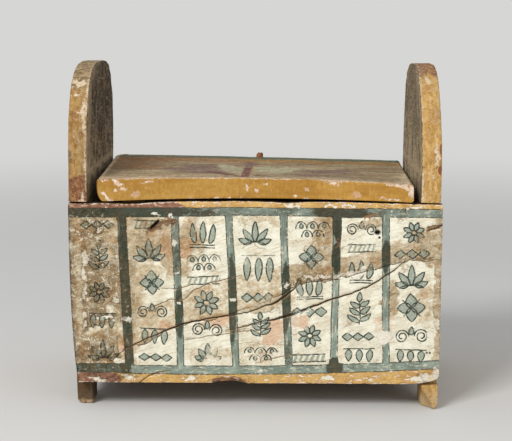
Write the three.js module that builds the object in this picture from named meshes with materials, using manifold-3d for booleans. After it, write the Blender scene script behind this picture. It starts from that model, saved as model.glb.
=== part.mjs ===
// Painted wooden box for funerary figures: two round-topped end boards that stand on feet,
// front and back walls let into them, a pegged floor, and a flat lid that lifts out between the end boards.
// Millimetres, +Z up. The front faces -Y, the origin is on the ground below the middle of the box.

import * as THREE from 'three';
import Module from 'manifold-3d';
import { mergeVertices } from 'three/addons/utils/BufferGeometryUtils.js';

const wasm = await Module();
wasm.setup();

// Overall sizes
const boxWidth = 400;
const boxDepth = 216;
const wallTop = 226;
const wallCrown = 2.8;
const footHeight = 28;

// Clearances
const seatGap = 0.3;
const cutOverrun = 5;
const weldDistance = 1e-4;

// Front and back walls
const wallThickness = 14;
const wallEase = 0.9;
const leftEdgeTaper = 6.6;
const leftEdgeStraight = 45;
const wornCornerWidth = 46;
const wornCornerHeight = 10;
const chipOffset = -27;
const chipWidth = 38;
const chipDepth = 2.6;

// End boards
const leftPostRise = 147;
const rightPostRise = 143.5;
const leftPostLean = 2;
const rightPostLean = 1.6;
const leftBoardThickness = 22;
const rightBoardThickness = 23.5;
const rightBoardInset = 1.8;
const postShoulderRise = 26;
const leftArchFrontShare = 0.67;
const leftArchRearShare = 0.54;
const rightArchFrontShare = 1.1;
const rightArchRearShare = 0.45;
const boardEase = 1.5;
const leftFootTaper = 3;
const footLength = 46;
const footArchHeight = 23;
const footArchRadius = 9;
const brokenToeReach = [14, 17, 23];
const wornHeelReach = [7, 34, 7];
const wornLeftToeReach = [4, 22, 4];

// Floor board
const floorThickness = 14;
const floorLift = 6;
const floorEase = 0.6;

// Lid board
const lidFrontSetback = 2;
const lidRearSetback = 0.8;
const lidFrontLeftHeight = 25.1;
const lidFrontCrownHeight = 27.3;
const lidFrontRightHeight = 20;
const lidRearLeftHeight = 27.9;
const lidRearCrownHeight = 25;
const lidRearRightHeight = 21.2;
const lidCrownOffset = -10;
const lidBow = 1.8;
const lidRearEndGap = 2.4;
const lidFrontLeftGap = 9.2;
const lidFrontRightGap = 5.6;
const lidLowerLeftRound = 8;
const lidLowerRightRound = 4;
const lidUpperLeftRound = 3.5;
const lidUpperRightRound = 5;
const lidEase = 1.2;

// Cleats under the lid
const cleatWidth = 24;
const cleatThickness = 11;
const cleatEndClearance = 2.5;
const cleatFromPost = 34;
const cleatEase = 0.8;

// Knob that the sealing cord was tied to
const knobRadius = 4.3;
const knobShankRadius = 3.6;
const knobRise = 6.6;
const knobShankLength = 14;
const knobFromRearEdge = 7;
const knobNotch = 2.4;
const knobOffset = 1;

// Whittled pegs
const pegHeadRadius = 3.8;
const pegTipRadius = 3.1;
const pegTipLength = 3;
const pegGap = 0.35;
const pegHeadCover = 0.7;
const cornerPegLength = 42;
const cornerPegEndDistance = 36;
const floorPegLength = 36;
const floorPegEndDistance = 78;
const floorEndPegLength = 44;
const floorEndPegSpacing = 84;
const lidPegTipCover = 2;
const lidPegSpacing = 104;

// Facets
const archFacets = 34;
const cornerFacets = 4;
const wallFacets = 8;
const lidFacets = 12;
const lidSpans = 3;
const pegFacets = 10;
const holeFacets = 12;

// Derived places
const frontFace = -boxDepth / 2;
const backFace = boxDepth / 2;
const leftFace = -boxWidth / 2;
const rightFace = boxWidth / 2 - rightBoardInset;
const leftInnerFace = leftFace + leftBoardThickness;
const rightInnerFace = rightFace - rightBoardThickness;
const leftPostTop = wallTop + leftPostRise;
const rightPostTop = wallTop + rightPostRise;
const floorBottom = footHeight + floorLift;
const floorMiddle = floorBottom + floorThickness / 2;
const innerFront = frontFace + wallThickness;
const innerBack = backFace - wallThickness;

const materials = {
  wallPaint: () => new THREE.MeshStandardMaterial({ color: 0xd9cba8, roughness: 0.85, metalness: 0 }),
  ochrePaint: () => new THREE.MeshStandardMaterial({ color: 0xc79a45, roughness: 0.8, metalness: 0 }),
  bareWood: () => new THREE.MeshStandardMaterial({ color: 0x8a6d4a, roughness: 0.9, metalness: 0 }),
  pegWood: () => new THREE.MeshStandardMaterial({ color: 0xa5622f, roughness: 0.85, metalness: 0 }),
};

// Turns a closed three.js geometry into a solid for cutting and joining
function solidFrom(geometry) {
  const bare = geometry.clone();
  bare.deleteAttribute('normal');
  bare.deleteAttribute('uv');
  const merged = mergeVertices(bare, weldDistance);
  return new wasm.Manifold(new wasm.Mesh({
    numProp: 3,
    vertProperties: new Float32Array(merged.attributes.position.array),
    triVerts: new Uint32Array(merged.index.array),
  }));
}

// Turns a solid back into a flat-shaded three.js geometry
function geometryFrom(solid) {
  const mesh = solid.getMesh();
  const geometry = new THREE.BufferGeometry();
  geometry.setAttribute('position', new THREE.BufferAttribute(new Float32Array(mesh.vertProperties), 3));
  geometry.setIndex(new THREE.BufferAttribute(new Uint32Array(mesh.triVerts), 1));
  const faceted = geometry.toNonIndexed();
  faceted.computeVertexNormals();
  return faceted;
}

// An extrusion of the full depth whose outer edges are rounded off by the ease
function easedExtrusion(outline, depth, ease, facets) {
  const geometry = new THREE.ExtrudeGeometry(outline, {
    depth: depth - 2 * ease,
    curveSegments: facets,
    bevelEnabled: ease > 0,
    bevelThickness: ease,
    bevelSize: ease,
    bevelOffset: -ease,
    bevelSegments: 2,
  });
  return geometry.translate(0, 0, ease);
}

// A plank whose outline is drawn in Y and Z, from one X to another
function plankAlongX(outline, fromX, toX, ease, facets) {
  const geometry = easedExtrusion(outline, toX - fromX, ease, facets);
  geometry.translate(0, 0, fromX);
  return geometry.applyMatrix4(new THREE.Matrix4().makeBasis(
    new THREE.Vector3(0, 1, 0), new THREE.Vector3(0, 0, 1), new THREE.Vector3(1, 0, 0)));
}

// A plank whose outline is drawn in X and Z, from one Y to another
function plankAlongY(outline, fromY, toY, ease, facets) {
  const geometry = easedExtrusion(outline, toY - fromY, ease, facets);
  geometry.translate(0, 0, -toY);
  return geometry.applyMatrix4(new THREE.Matrix4().makeBasis(
    new THREE.Vector3(1, 0, 0), new THREE.Vector3(0, 0, 1), new THREE.Vector3(0, -1, 0)));
}

// A shape's outline through corners given as pairs
function polygon(corners) {
  return new THREE.Shape(corners.map(([across, up]) => new THREE.Vector2(across, up)));
}

// A square-edged block between two corners, for cutting with
function block(low, high) {
  const geometry = new THREE.BoxGeometry(high[0] - low[0], high[1] - low[1], high[2] - low[2]);
  geometry.translate((low[0] + high[0]) / 2, (low[1] + high[1]) / 2, (low[2] + high[2]) / 2);
  return solidFrom(geometry);
}

function rectangle(left, bottom, right, top) {
  return polygon([[left, bottom], [right, bottom], [right, top], [left, top]]);
}

// A three-sided wedge that takes off the corner of a board. The reaches are the lengths lost along
// X, Y and Z, each with the sign that leads into the board, and the wedge starts outside the corner.
function cornerChip(corner, reach) {
  const lost = reach.map(Math.abs);
  const start = corner.map((value, axis) => value - Math.sign(reach[axis]) * cutOverrun);
  const overrunShares = lost.map((length) => cutOverrun / length);
  const points = [start];
  for (const axis of [0, 1, 2]) {
    const othersShare = overrunShares.reduce((sum, share, other) => (other === axis ? sum : sum + share), 0);
    const tip = [...start];
    tip[axis] = corner[axis] + reach[axis] * (1 + othersShare);
    points.push(tip);
  }
  const outward = [1, 2, 3, 0, 2, 1, 0, 3, 2, 0, 1, 3];
  const mirrored = reach[0] * reach[1] * reach[2] < 0;
  const geometry = new THREE.BufferGeometry();
  geometry.setAttribute('position', new THREE.Float32BufferAttribute(points.flat(), 3));
  geometry.setIndex(mirrored ? [...outward].reverse() : outward);
  return solidFrom(geometry);
}

// A closed surface through outlines of equal point counts, one for each place along Y
function loftAlongY(sections) {
  const count = sections[0].points.length;
  const positions = [];
  const index = [];
  for (const { y, points } of sections) {
    for (const point of points) {
      positions.push(point.x, y, point.y);
    }
  }
  for (let s = 0; s + 1 < sections.length; s += 1) {
    for (let i = 0; i < count; i += 1) {
      const next = (i + 1) % count;
      const near = s * count;
      const far = near + count;
      index.push(near + i, far + next, near + next, near + i, far + i, far + next);
    }
  }
  const lastRing = (sections.length - 1) * count;
  for (const face of THREE.ShapeUtils.triangulateShape(sections[0].points, [])) {
    index.push(face[0], face[1], face[2]);
  }
  for (const face of THREE.ShapeUtils.triangulateShape(sections[sections.length - 1].points, [])) {
    index.push(lastRing + face[0], lastRing + face[2], lastRing + face[1]);
  }
  const geometry = new THREE.BufferGeometry();
  geometry.setAttribute('position', new THREE.Float32BufferAttribute(positions, 3));
  geometry.setIndex(index);
  return geometry;
}

// A peg is placed by the middle of its head and the direction that it was driven in
function pegTurn(direction) {
  return new THREE.Quaternion().setFromUnitVectors(new THREE.Vector3(0, 0, 1), direction);
}

// A whittled peg that points along +Z from its head, with a blunt tip
function pegGeometry(length) {
  const profile = [
    new THREE.Vector2(0, 0),
    new THREE.Vector2(pegHeadRadius, 0),
    new THREE.Vector2(pegTipRadius, length - pegTipLength),
    new THREE.Vector2(pegTipRadius / 2, length),
    new THREE.Vector2(0, length),
  ];
  return new THREE.LatheGeometry(profile, pegFacets);
}

// The drilled hole for a peg, open at the head and a little deeper than the tip
function pegHole(peg) {
  const radius = (pegHeadRadius + pegGap) / Math.cos(Math.PI / holeFacets);
  const deep = peg.length + pegGap;
  const geometry = new THREE.CylinderGeometry(radius, radius, deep + cutOverrun, holeFacets);
  geometry.rotateX(Math.PI / 2);
  geometry.translate(0, 0, (deep - cutOverrun) / 2);
  geometry.applyQuaternion(pegTurn(peg.direction));
  geometry.translate(peg.head.x, peg.head.y, peg.head.z);
  return solidFrom(geometry);
}

function drill(solid, pegs) {
  return pegs.reduce((left, peg) => left.subtract(pegHole(peg)), solid);
}

function sideDirections() {
  return [
    { side: 'front', face: frontFace, inward: 1 },
    { side: 'back', face: backFace, inward: -1 },
  ];
}

// Three pegs at each corner run through a wall into the edge of an end board
function cornerPegs() {
  const lowest = footHeight + cornerPegEndDistance;
  const highest = wallTop - cornerPegEndDistance;
  const heights = { low: lowest, middle: (lowest + highest) / 2, high: highest };
  const ends = { left: (leftFace + leftInnerFace) / 2, right: (rightFace + rightInnerFace) / 2 };
  const pegs = [];
  for (const { side, face, inward } of sideDirections()) {
    for (const [end, x] of Object.entries(ends)) {
      for (const [height, z] of Object.entries(heights)) {
        pegs.push({
          name: `${side}_${end}_${height}_peg`,
          side,
          end,
          head: new THREE.Vector3(x, face + inward * pegHeadCover, z),
          direction: new THREE.Vector3(0, inward, 0),
          length: cornerPegLength,
        });
      }
    }
  }
  return pegs;
}

// Three pegs along the foot of each wall run into the long edges of the floor
function floorPegs() {
  const leftPlace = leftInnerFace + floorPegEndDistance;
  const rightPlace = rightInnerFace - floorPegEndDistance;
  const places = { left: leftPlace, middle: (leftPlace + rightPlace) / 2, right: rightPlace };
  const pegs = [];
  for (const { side, face, inward } of sideDirections()) {
    for (const [place, x] of Object.entries(places)) {
      pegs.push({
        name: `floor_${side}_${place}_peg`,
        side,
        head: new THREE.Vector3(x, face + inward * pegHeadCover, floorMiddle),
        direction: new THREE.Vector3(0, inward, 0),
        length: floorPegLength,
      });
    }
  }
  return pegs;
}

// Two pegs through each end board run into the short edges of the floor
function floorEndPegs() {
  const ends = [
    { end: 'left', face: leftFace + leftFootTaper * (1 - floorMiddle / wallTop), inward: 1 },
    { end: 'right', face: rightFace, inward: -1 },
  ];
  const places = { near: -floorEndPegSpacing / 2, far: floorEndPegSpacing / 2 };
  const pegs = [];
  for (const { end, face, inward } of ends) {
    for (const [place, y] of Object.entries(places)) {
      pegs.push({
        name: `floor_${end}_${place}_peg`,
        end,
        head: new THREE.Vector3(face + inward * pegHeadCover, y, floorMiddle),
        direction: new THREE.Vector3(inward, 0, 0),
        length: floorEndPegLength,
      });
    }
  }
  return pegs;
}

// The upper edge of a wall is level at the end boards and crowned between them, drawn right to left
function crownedEdge(shape) {
  shape.lineTo(boxWidth / 2, wallTop);
  shape.lineTo(rightInnerFace, wallTop);
  shape.quadraticCurveTo(
    (leftInnerFace + rightInnerFace) / 2, wallTop + 2 * wallCrown, leftInnerFace, wallTop);
  shape.lineTo(-boxWidth / 2, wallTop);
}

// The front wall keeps its slanting left edge, a chip in its foot and a worn right corner
function frontWallOutline() {
  const left = -boxWidth / 2;
  const right = boxWidth / 2;
  const chipLeft = chipOffset - chipWidth / 2;
  const chipRight = chipOffset + chipWidth / 2;
  const shape = new THREE.Shape();
  shape.moveTo(left + leftEdgeTaper, footHeight);
  shape.lineTo(chipLeft, footHeight);
  shape.quadraticCurveTo(chipOffset, footHeight + 2 * chipDepth, chipRight, footHeight);
  shape.lineTo(right - wornCornerWidth, footHeight);
  shape.quadraticCurveTo(right - wallEase, footHeight, right, footHeight + wornCornerHeight);
  crownedEdge(shape);
  shape.lineTo(left, wallTop - leftEdgeStraight);
  shape.quadraticCurveTo(left, (wallTop + footHeight) / 3, left + leftEdgeTaper, footHeight);
  return shape;
}

function makeFrontWall(pegs) {
  const plank = plankAlongY(frontWallOutline(), frontFace, innerFront, wallEase, wallFacets);
  return drill(solidFrom(plank), pegs.filter((peg) => peg.side === 'front'));
}

function makeBackWall(pegs) {
  const outline = new THREE.Shape();
  outline.moveTo(-boxWidth / 2, footHeight);
  outline.lineTo(boxWidth / 2, footHeight);
  crownedEdge(outline);
  const plank = plankAlongY(outline, innerBack, backFace, wallEase, wallFacets);
  return drill(solidFrom(plank), pegs.filter((peg) => peg.side === 'back'));
}

// An end board seen from its side: upright edges under an arch. Each half of the arch is cos^share across
// and sin^share up, so a share of 1 makes it elliptical and a lower one blunter.
function endBoardOutline(top, frontShare, rearShare) {
  const spring = wallTop + postShoulderRise;
  const shape = new THREE.Shape();
  shape.moveTo(backFace, 0);
  shape.lineTo(backFace, wallTop);
  for (let i = 0; i <= archFacets; i += 1) {
    const angle = i * Math.PI / archFacets;
    const share = 2 * i < archFacets ? rearShare : frontShare;
    const across = Math.sign(Math.cos(angle)) * Math.abs(Math.cos(angle)) ** share;
    shape.lineTo(across * boxDepth / 2, spring + (top - spring) * Math.sin(angle) ** share);
  }
  shape.lineTo(frontFace, wallTop);
  shape.lineTo(frontFace, 0);
  shape.closePath();
  return shape;
}

// Leans the part of an end board that stands above the walls, by a length along X at its top
function leanAboveWalls(geometry, lean, rise) {
  const position = geometry.attributes.position;
  for (let i = 0; i < position.count; i += 1) {
    const above = Math.max(position.getZ(i) - wallTop, 0);
    position.setX(i, position.getX(i) + lean * above / rise);
  }
  return geometry;
}

// The opening between the two feet of an end board, with rounded upper corners
function footArch(fromX, toX) {
  const half = boxDepth / 2 - footLength;
  const shape = new THREE.Shape();
  shape.moveTo(-half, -cutOverrun);
  shape.lineTo(half, -cutOverrun);
  shape.lineTo(half, footArchHeight - footArchRadius);
  shape.quadraticCurveTo(half, footArchHeight, half - footArchRadius, footArchHeight);
  shape.lineTo(footArchRadius - half, footArchHeight);
  shape.quadraticCurveTo(-half, footArchHeight, -half, footArchHeight - footArchRadius);
  shape.closePath();
  return solidFrom(plankAlongX(shape, fromX - cutOverrun, toX + cutOverrun, 0, cornerFacets));
}

// The seats that the front and back walls lie in, from the given height up to the shoulders
function wallSeats(fromX, toX, bottom) {
  const shoulder = wallTop + seatGap;
  const front = block(
    [fromX - cutOverrun, frontFace - cutOverrun, bottom],
    [toX + cutOverrun, innerFront + seatGap, shoulder]);
  const back = block(
    [fromX - cutOverrun, innerBack - seatGap, bottom],
    [toX + cutOverrun, backFace + cutOverrun, shoulder]);
  return front.add(back);
}

// The left board's seats run down to the ground, so its feet stand behind the walls. Below the walls'
// upper edge its outer face slopes in towards the feet.
function makeLeftEndBoard(pegs) {
  const outline = endBoardOutline(leftPostTop, leftArchFrontShare, leftArchRearShare);
  const plank = plankAlongX(outline, leftFace, leftInnerFace, boardEase, 1);
  const outside = leftFace - cutOverrun;
  const slope = polygon([
    [outside, -cutOverrun],
    [leftFace + leftFootTaper, -cutOverrun],
    [leftFace + leftFootTaper, 0],
    [leftFace, wallTop],
    [outside, wallTop],
  ]);
  return drill(
    solidFrom(leanAboveWalls(plank, leftPostLean, leftPostRise))
      .subtract(wallSeats(leftFace, leftInnerFace, -cutOverrun))
      .subtract(footArch(leftFace, leftInnerFace))
      .subtract(solidFrom(plankAlongY(slope, frontFace - cutOverrun, backFace + cutOverrun, 0, 1)))
      .subtract(cornerChip([leftFace + leftFootTaper, innerFront + seatGap, 0], wornLeftToeReach)),
    pegs.filter((peg) => peg.end === 'left'));
}

// The right board's feet come forward to the walls' faces. The front one has lost the corner of its
// inner toe and is worn round at its heel.
function makeRightEndBoard(pegs) {
  const outline = endBoardOutline(rightPostTop, rightArchFrontShare, rightArchRearShare);
  const plank = plankAlongX(outline, rightInnerFace, rightFace, boardEase, 1);
  const [heelAcross, heelBack, heelUp] = wornHeelReach;
  return drill(
    solidFrom(leanAboveWalls(plank, rightPostLean, rightPostRise))
      .subtract(wallSeats(rightInnerFace, rightFace, footHeight - seatGap))
      .subtract(footArch(rightInnerFace, rightFace))
      .subtract(cornerChip([rightInnerFace, frontFace, 0], brokenToeReach))
      .subtract(cornerChip([rightFace, frontFace, 0], [-heelAcross, heelBack, heelUp])),
    pegs.filter((peg) => peg.end === 'right'));
}

function makeFloor(pegs) {
  const outline = rectangle(
    leftInnerFace + seatGap, floorBottom, rightInnerFace - seatGap, floorBottom + floorThickness);
  const plank = plankAlongY(outline, innerFront + seatGap, innerBack - seatGap, floorEase, 1);
  return drill(solidFrom(plank), pegs);
}

// Heights on the lid are measured from the level ends of the walls' upper edges
const lidRearLeft = leftInnerFace + lidRearEndGap;
const lidRearRight = rightInnerFace - lidRearEndGap;
const lidFrontLeft = leftInnerFace + lidFrontLeftGap;
const lidFrontRight = rightInnerFace - lidFrontRightGap;
const lidFront = frontFace + lidFrontSetback;
const lidBack = backFace - lidRearSetback;

// One at the middle between two places and zero at both, along a parabola
function parabolaShare(x, from, to) {
  return 4 * (x - from) * (to - x) / ((to - from) * (to - from));
}

// The underside follows the crown of the walls and is bowed away from it between the lid's ends
function lidUndersideAt(x) {
  return wallCrown * parabolaShare(x, leftInnerFace, rightInnerFace)
    + lidBow * parabolaShare(x, lidRearLeft, lidRearRight);
}

// A parabola through an edge's heights at the left end, the crown and the right end
function lidEdgeHeight(x, leftHeight, crownHeight, rightHeight) {
  const rise = (crownHeight - leftHeight) / (lidCrownOffset - lidRearLeft);
  const fall = (rightHeight - crownHeight) / (lidRearRight - lidCrownOffset);
  const bend = (fall - rise) / (lidRearRight - lidRearLeft);
  return leftHeight + (x - lidRearLeft) * (rise + bend * (x - lidCrownOffset));
}

// The top is ruled from the height along the front edge to the height along the rear edge
function lidTopAt(x, y) {
  const frontHeight = lidEdgeHeight(x, lidFrontLeftHeight, lidFrontCrownHeight, lidFrontRightHeight);
  const rearHeight = lidEdgeHeight(x, lidRearLeftHeight, lidRearCrownHeight, lidRearRightHeight);
  return frontHeight + (rearHeight - frontHeight) * (y - lidFront) / (lidBack - lidFront);
}

// Points of a quarter round from one direction to the next, both given as turns of a right angle
function quarterRound(centreX, centreZ, radius, firstQuarter) {
  const points = [];
  for (let i = 0; i <= cornerFacets; i += 1) {
    const angle = (firstQuarter + i / cornerFacets) * Math.PI / 2;
    points.push(new THREE.Vector2(centreX + radius * Math.cos(angle), centreZ + radius * Math.sin(angle)));
  }
  return points;
}

// The lid seen from the front at a place along Y, anticlockwise from its lower left round, drawn in by an inset
function lidOutline(y, inset) {
  const share = (y - lidFront) / (lidBack - lidFront);
  const left = lidFrontLeft + (lidRearLeft - lidFrontLeft) * share + inset;
  const right = lidFrontRight + (lidRearRight - lidFrontRight) * share - inset;
  const under = (x) => lidUndersideAt(x) + inset;
  const over = (x) => lidTopAt(x, y) - inset;
  const lowerLeft = lidLowerLeftRound - inset;
  const lowerRight = lidLowerRightRound - inset;
  const upperLeft = lidUpperLeftRound - inset;
  const upperRight = lidUpperRightRound - inset;
  const points = [];
  points.push(...quarterRound(left + lowerLeft, under(left + lowerLeft) + lowerLeft, lowerLeft, 2));
  for (let i = 1; i < lidFacets; i += 1) {
    const x = left + lowerLeft + (right - lowerRight - left - lowerLeft) * i / lidFacets;
    points.push(new THREE.Vector2(x, under(x)));
  }
  points.push(...quarterRound(right - lowerRight, under(right - lowerRight) + lowerRight, lowerRight, 3));
  points.push(...quarterRound(right - upperRight, over(right - upperRight) - upperRight, upperRight, 0));
  for (let i = 1; i < lidFacets; i += 1) {
    const x = right - upperRight - (right - upperRight - left - upperLeft) * i / lidFacets;
    points.push(new THREE.Vector2(x, over(x)));
  }
  points.push(...quarterRound(left + upperLeft, over(left + upperLeft) - upperLeft, upperLeft, 1));
  return points;
}

function makeLid(pegs, knobHole) {
  const sections = [{ y: lidFront, points: lidOutline(lidFront, lidEase) }];
  for (let i = 0; i <= lidSpans; i += 1) {
    const y = lidFront + lidEase + (lidBack - lidFront - 2 * lidEase) * i / lidSpans;
    sections.push({ y, points: lidOutline(y, 0) });
  }
  sections.push({ y: lidBack, points: lidOutline(lidBack, lidEase) });
  return drill(solidFrom(loftAlongY(sections)), pegs).subtract(knobHole);
}

// Each cleat lies under the lid and drops between the walls, which keeps the lid from sliding off
function cleatSpans() {
  return {
    left: [leftInnerFace + cleatFromPost, leftInnerFace + cleatFromPost + cleatWidth],
    right: [rightInnerFace - cleatFromPost - cleatWidth, rightInnerFace - cleatFromPost],
  };
}

function cleatTopOf([fromX, toX]) {
  return Math.min(lidUndersideAt(fromX), lidUndersideAt(toX)) - seatGap;
}

function makeCleat(span, pegs) {
  const top = cleatTopOf(span);
  const outline = rectangle(span[0], top - cleatThickness, span[1], top);
  const front = innerFront + cleatEndClearance;
  const back = innerBack - cleatEndClearance;
  return drill(solidFrom(plankAlongY(outline, front, back, cleatEase, 1)), pegs);
}

function lidPegs() {
  const pegs = [];
  for (const [end, span] of Object.entries(cleatSpans())) {
    const x = (span[0] + span[1]) / 2;
    const tip = cleatTopOf(span) - cleatThickness + lidPegTipCover;
    for (const [place, y] of Object.entries({ near: -lidPegSpacing / 2, far: lidPegSpacing / 2 })) {
      const top = Math.min(lidTopAt(x - pegHeadRadius, y), lidTopAt(x + pegHeadRadius, y)) - pegHeadCover;
      pegs.push({
        name: `lid_${end}_${place}_peg`,
        end,
        head: new THREE.Vector3(x, y, top),
        direction: new THREE.Vector3(0, 0, -1),
        length: top - tip,
      });
    }
  }
  return pegs;
}

// The knob stands near the rear edge of the lid, on a shank in a drilled hole
function knobPlace() {
  const y = lidBack - knobFromRearEdge;
  return new THREE.Vector3(knobOffset, y, lidTopAt(knobOffset, y));
}

function makeKnob() {
  const profile = [
    new THREE.Vector2(0, -knobShankLength),
    new THREE.Vector2(knobShankRadius, -knobShankLength),
    new THREE.Vector2(knobShankRadius, seatGap),
    new THREE.Vector2(knobRadius, seatGap),
    new THREE.Vector2(knobRadius, knobRise - knobNotch),
    new THREE.Vector2((knobRadius + knobShankRadius) / 2, knobRise),
    new THREE.Vector2(0, knobRise),
  ];
  const geometry = new THREE.LatheGeometry(profile, pegFacets);
  geometry.rotateX(Math.PI / 2);
  const notch = block(
    [knobRadius - knobNotch, -knobRadius - cutOverrun, knobRise - knobNotch],
    [knobRadius + cutOverrun, knobRadius + cutOverrun, knobRise + cutOverrun]);
  return solidFrom(geometry).subtract(notch);
}

function makeKnobHole() {
  const radius = (knobShankRadius + pegGap) / Math.cos(Math.PI / holeFacets);
  const deep = knobShankLength + pegGap;
  const geometry = new THREE.CylinderGeometry(radius, radius, deep + cutOverrun, holeFacets);
  geometry.rotateX(Math.PI / 2);
  geometry.translate(0, 0, (cutOverrun - deep) / 2);
  const place = knobPlace();
  geometry.translate(place.x, place.y, place.z);
  return solidFrom(geometry);
}

function meshOf(name, geometry, material) {
  const mesh = new THREE.Mesh(geometry, material);
  mesh.name = name;
  return mesh;
}

function pegMesh(peg) {
  const geometry = pegGeometry(peg.length);
  geometry.rotateX(Math.PI / 2);
  const mesh = meshOf(peg.name, geometryFrom(solidFrom(geometry)), materials.pegWood());
  mesh.position.copy(peg.head);
  mesh.quaternion.copy(pegTurn(peg.direction));
  return mesh;
}

function makeCarcass() {
  const corners = cornerPegs();
  const alongFloor = floorPegs();
  const acrossFloor = floorEndPegs();
  const pegs = [...corners, ...alongFloor, ...acrossFloor];
  const carcass = new THREE.Group();
  carcass.add(meshOf('front_wall', geometryFrom(makeFrontWall(pegs)), materials.wallPaint()));
  carcass.add(meshOf('back_wall', geometryFrom(makeBackWall(pegs)), materials.wallPaint()));
  carcass.add(meshOf('left_end_board', geometryFrom(makeLeftEndBoard(pegs)), materials.ochrePaint()));
  carcass.add(meshOf('right_end_board', geometryFrom(makeRightEndBoard(pegs)), materials.ochrePaint()));
  const intoFloor = [...alongFloor, ...acrossFloor];
  carcass.add(meshOf('floor_board', geometryFrom(makeFloor(intoFloor)), materials.bareWood()));
  for (const peg of pegs) {
    carcass.add(pegMesh(peg));
  }
  return carcass;
}

function makeLidAssembly() {
  const pegs = lidPegs();
  const lid = new THREE.Group();
  lid.position.z = wallTop + seatGap;
  lid.add(meshOf('lid_board', geometryFrom(makeLid(pegs, makeKnobHole())), materials.ochrePaint()));
  for (const [end, span] of Object.entries(cleatSpans())) {
    const ownPegs = pegs.filter((peg) => peg.end === end);
    lid.add(meshOf(`lid_${end}_cleat`, geometryFrom(makeCleat(span, ownPegs)), materials.bareWood()));
  }
  for (const peg of pegs) {
    lid.add(pegMesh(peg));
  }
  const knob = meshOf('lid_knob', geometryFrom(makeKnob()), materials.pegWood());
  knob.position.copy(knobPlace());
  lid.add(knob);
  return lid;
}

const shabtiBox = new THREE.Group();
shabtiBox.add(makeCarcass());
shabtiBox.add(makeLidAssembly());

export default shabtiBox;
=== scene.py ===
"""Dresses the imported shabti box: painted and cracked walls, worn end boards, a streaked lid and pegs.

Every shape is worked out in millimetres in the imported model's own frame, and goes into its mesh in metres:
+X runs to the viewer's right along the front, +Y from the front to the back, and +Z up from the ground.
"""

import logging
import math
from dataclasses import dataclass
from enum import Enum
from functools import cached_property

import bmesh
import bpy
import numpy as np
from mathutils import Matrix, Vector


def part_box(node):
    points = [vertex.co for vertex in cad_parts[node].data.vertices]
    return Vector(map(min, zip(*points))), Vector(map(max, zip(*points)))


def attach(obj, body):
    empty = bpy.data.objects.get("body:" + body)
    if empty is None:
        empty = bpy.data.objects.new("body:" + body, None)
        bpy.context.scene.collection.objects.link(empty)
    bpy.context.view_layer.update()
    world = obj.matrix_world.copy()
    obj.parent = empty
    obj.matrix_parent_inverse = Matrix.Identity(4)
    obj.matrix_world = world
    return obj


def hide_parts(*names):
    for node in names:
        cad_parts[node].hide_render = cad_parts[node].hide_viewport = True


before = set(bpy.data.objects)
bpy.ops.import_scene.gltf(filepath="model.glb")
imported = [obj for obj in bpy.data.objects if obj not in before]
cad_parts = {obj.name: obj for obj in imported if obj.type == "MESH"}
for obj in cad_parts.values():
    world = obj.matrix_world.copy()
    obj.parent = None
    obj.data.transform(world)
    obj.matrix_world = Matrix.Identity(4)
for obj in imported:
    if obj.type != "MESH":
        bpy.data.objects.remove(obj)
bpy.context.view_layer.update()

LOG = logging.getLogger("shabti_box")
MM = 0.001

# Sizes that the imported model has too, in millimetres
HALF_WIDTH = 200.0
HALF_DEPTH = 108.0
WALL_TOP = 226.0
WALL_CROWN = 2.8
WALL_THICKNESS = 14.0
FOOT_HEIGHT = 28.0
LEFT_INNER_FACE = -178.0
RIGHT_INNER_FACE = 174.7
RIGHT_OUTER_FACE = 198.2
SEAT_GAP = 0.3

Array = np.ndarray


class Body(str, Enum):
    """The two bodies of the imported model."""
    BOX = "box"
    LID = "lid"


class Slot(str, Enum):
    """Names of material slots, which the scene's own pieces are passed with."""
    PAINTED_GESSO = "painted_gesso"
    OCHRE_PAINT = "ochre_paint"
    LID_PAINT = "lid_paint"
    PEG_WOOD = "peg_wood"
    FIGURE_PAINT = "figure_paint"


def smooth(low: float, high: float, value: Array) -> Array:
    """Rises from 0 at low to 1 at high as 3t^2 - 2t^3, or falls where high is below low.

    Args:
        low: Value that gives 0.
        high: Value that gives 1.
        value: Values to grade.

    Returns:
        The graded values.
    """
    share = np.clip((value - low) / (high - low), 0.0, 1.0)
    return share * share * (3.0 - 2.0 * share)


def parabola_share(x: Array, start: float, end: float) -> Array:
    """One at the middle between start and end and zero at both, along a parabola."""
    return 4.0 * (x - start) * (end - x) / (end - start) ** 2


def bezier_reading(value: Array, start: tuple[float, float], control: tuple[float, float],
                   end: tuple[float, float]) -> Array:
    """Reads a quadratic curve as the second coordinate over the first.

    The curve is start(1-t)^2 + 2 control t(1-t) + end t^2, and it stays level beyond its ends.

    Args:
        value: First coordinates to read at.
        start: Where the curve starts, with the lower first coordinate.
        control: Its control point.
        end: Where it ends.

    Returns:
        The second coordinates.
    """
    t = np.linspace(0.0, 1.0, 65)
    first, second = (a * (1 - t) ** 2 + 2 * b * t * (1 - t) + c * t ** 2
                     for a, b, c in zip(start, control, end))
    return np.interp(value, first, second)


def round_inset(distance: Array, radius: float) -> Array:
    """How far a rounded edge draws in at a distance from its corner: r - sqrt(r^2 - (r - d)^2)."""
    reach = radius - np.clip(distance, 0.0, radius)
    return radius - np.sqrt(np.maximum(radius * radius - reach * reach, 0.0))


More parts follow.
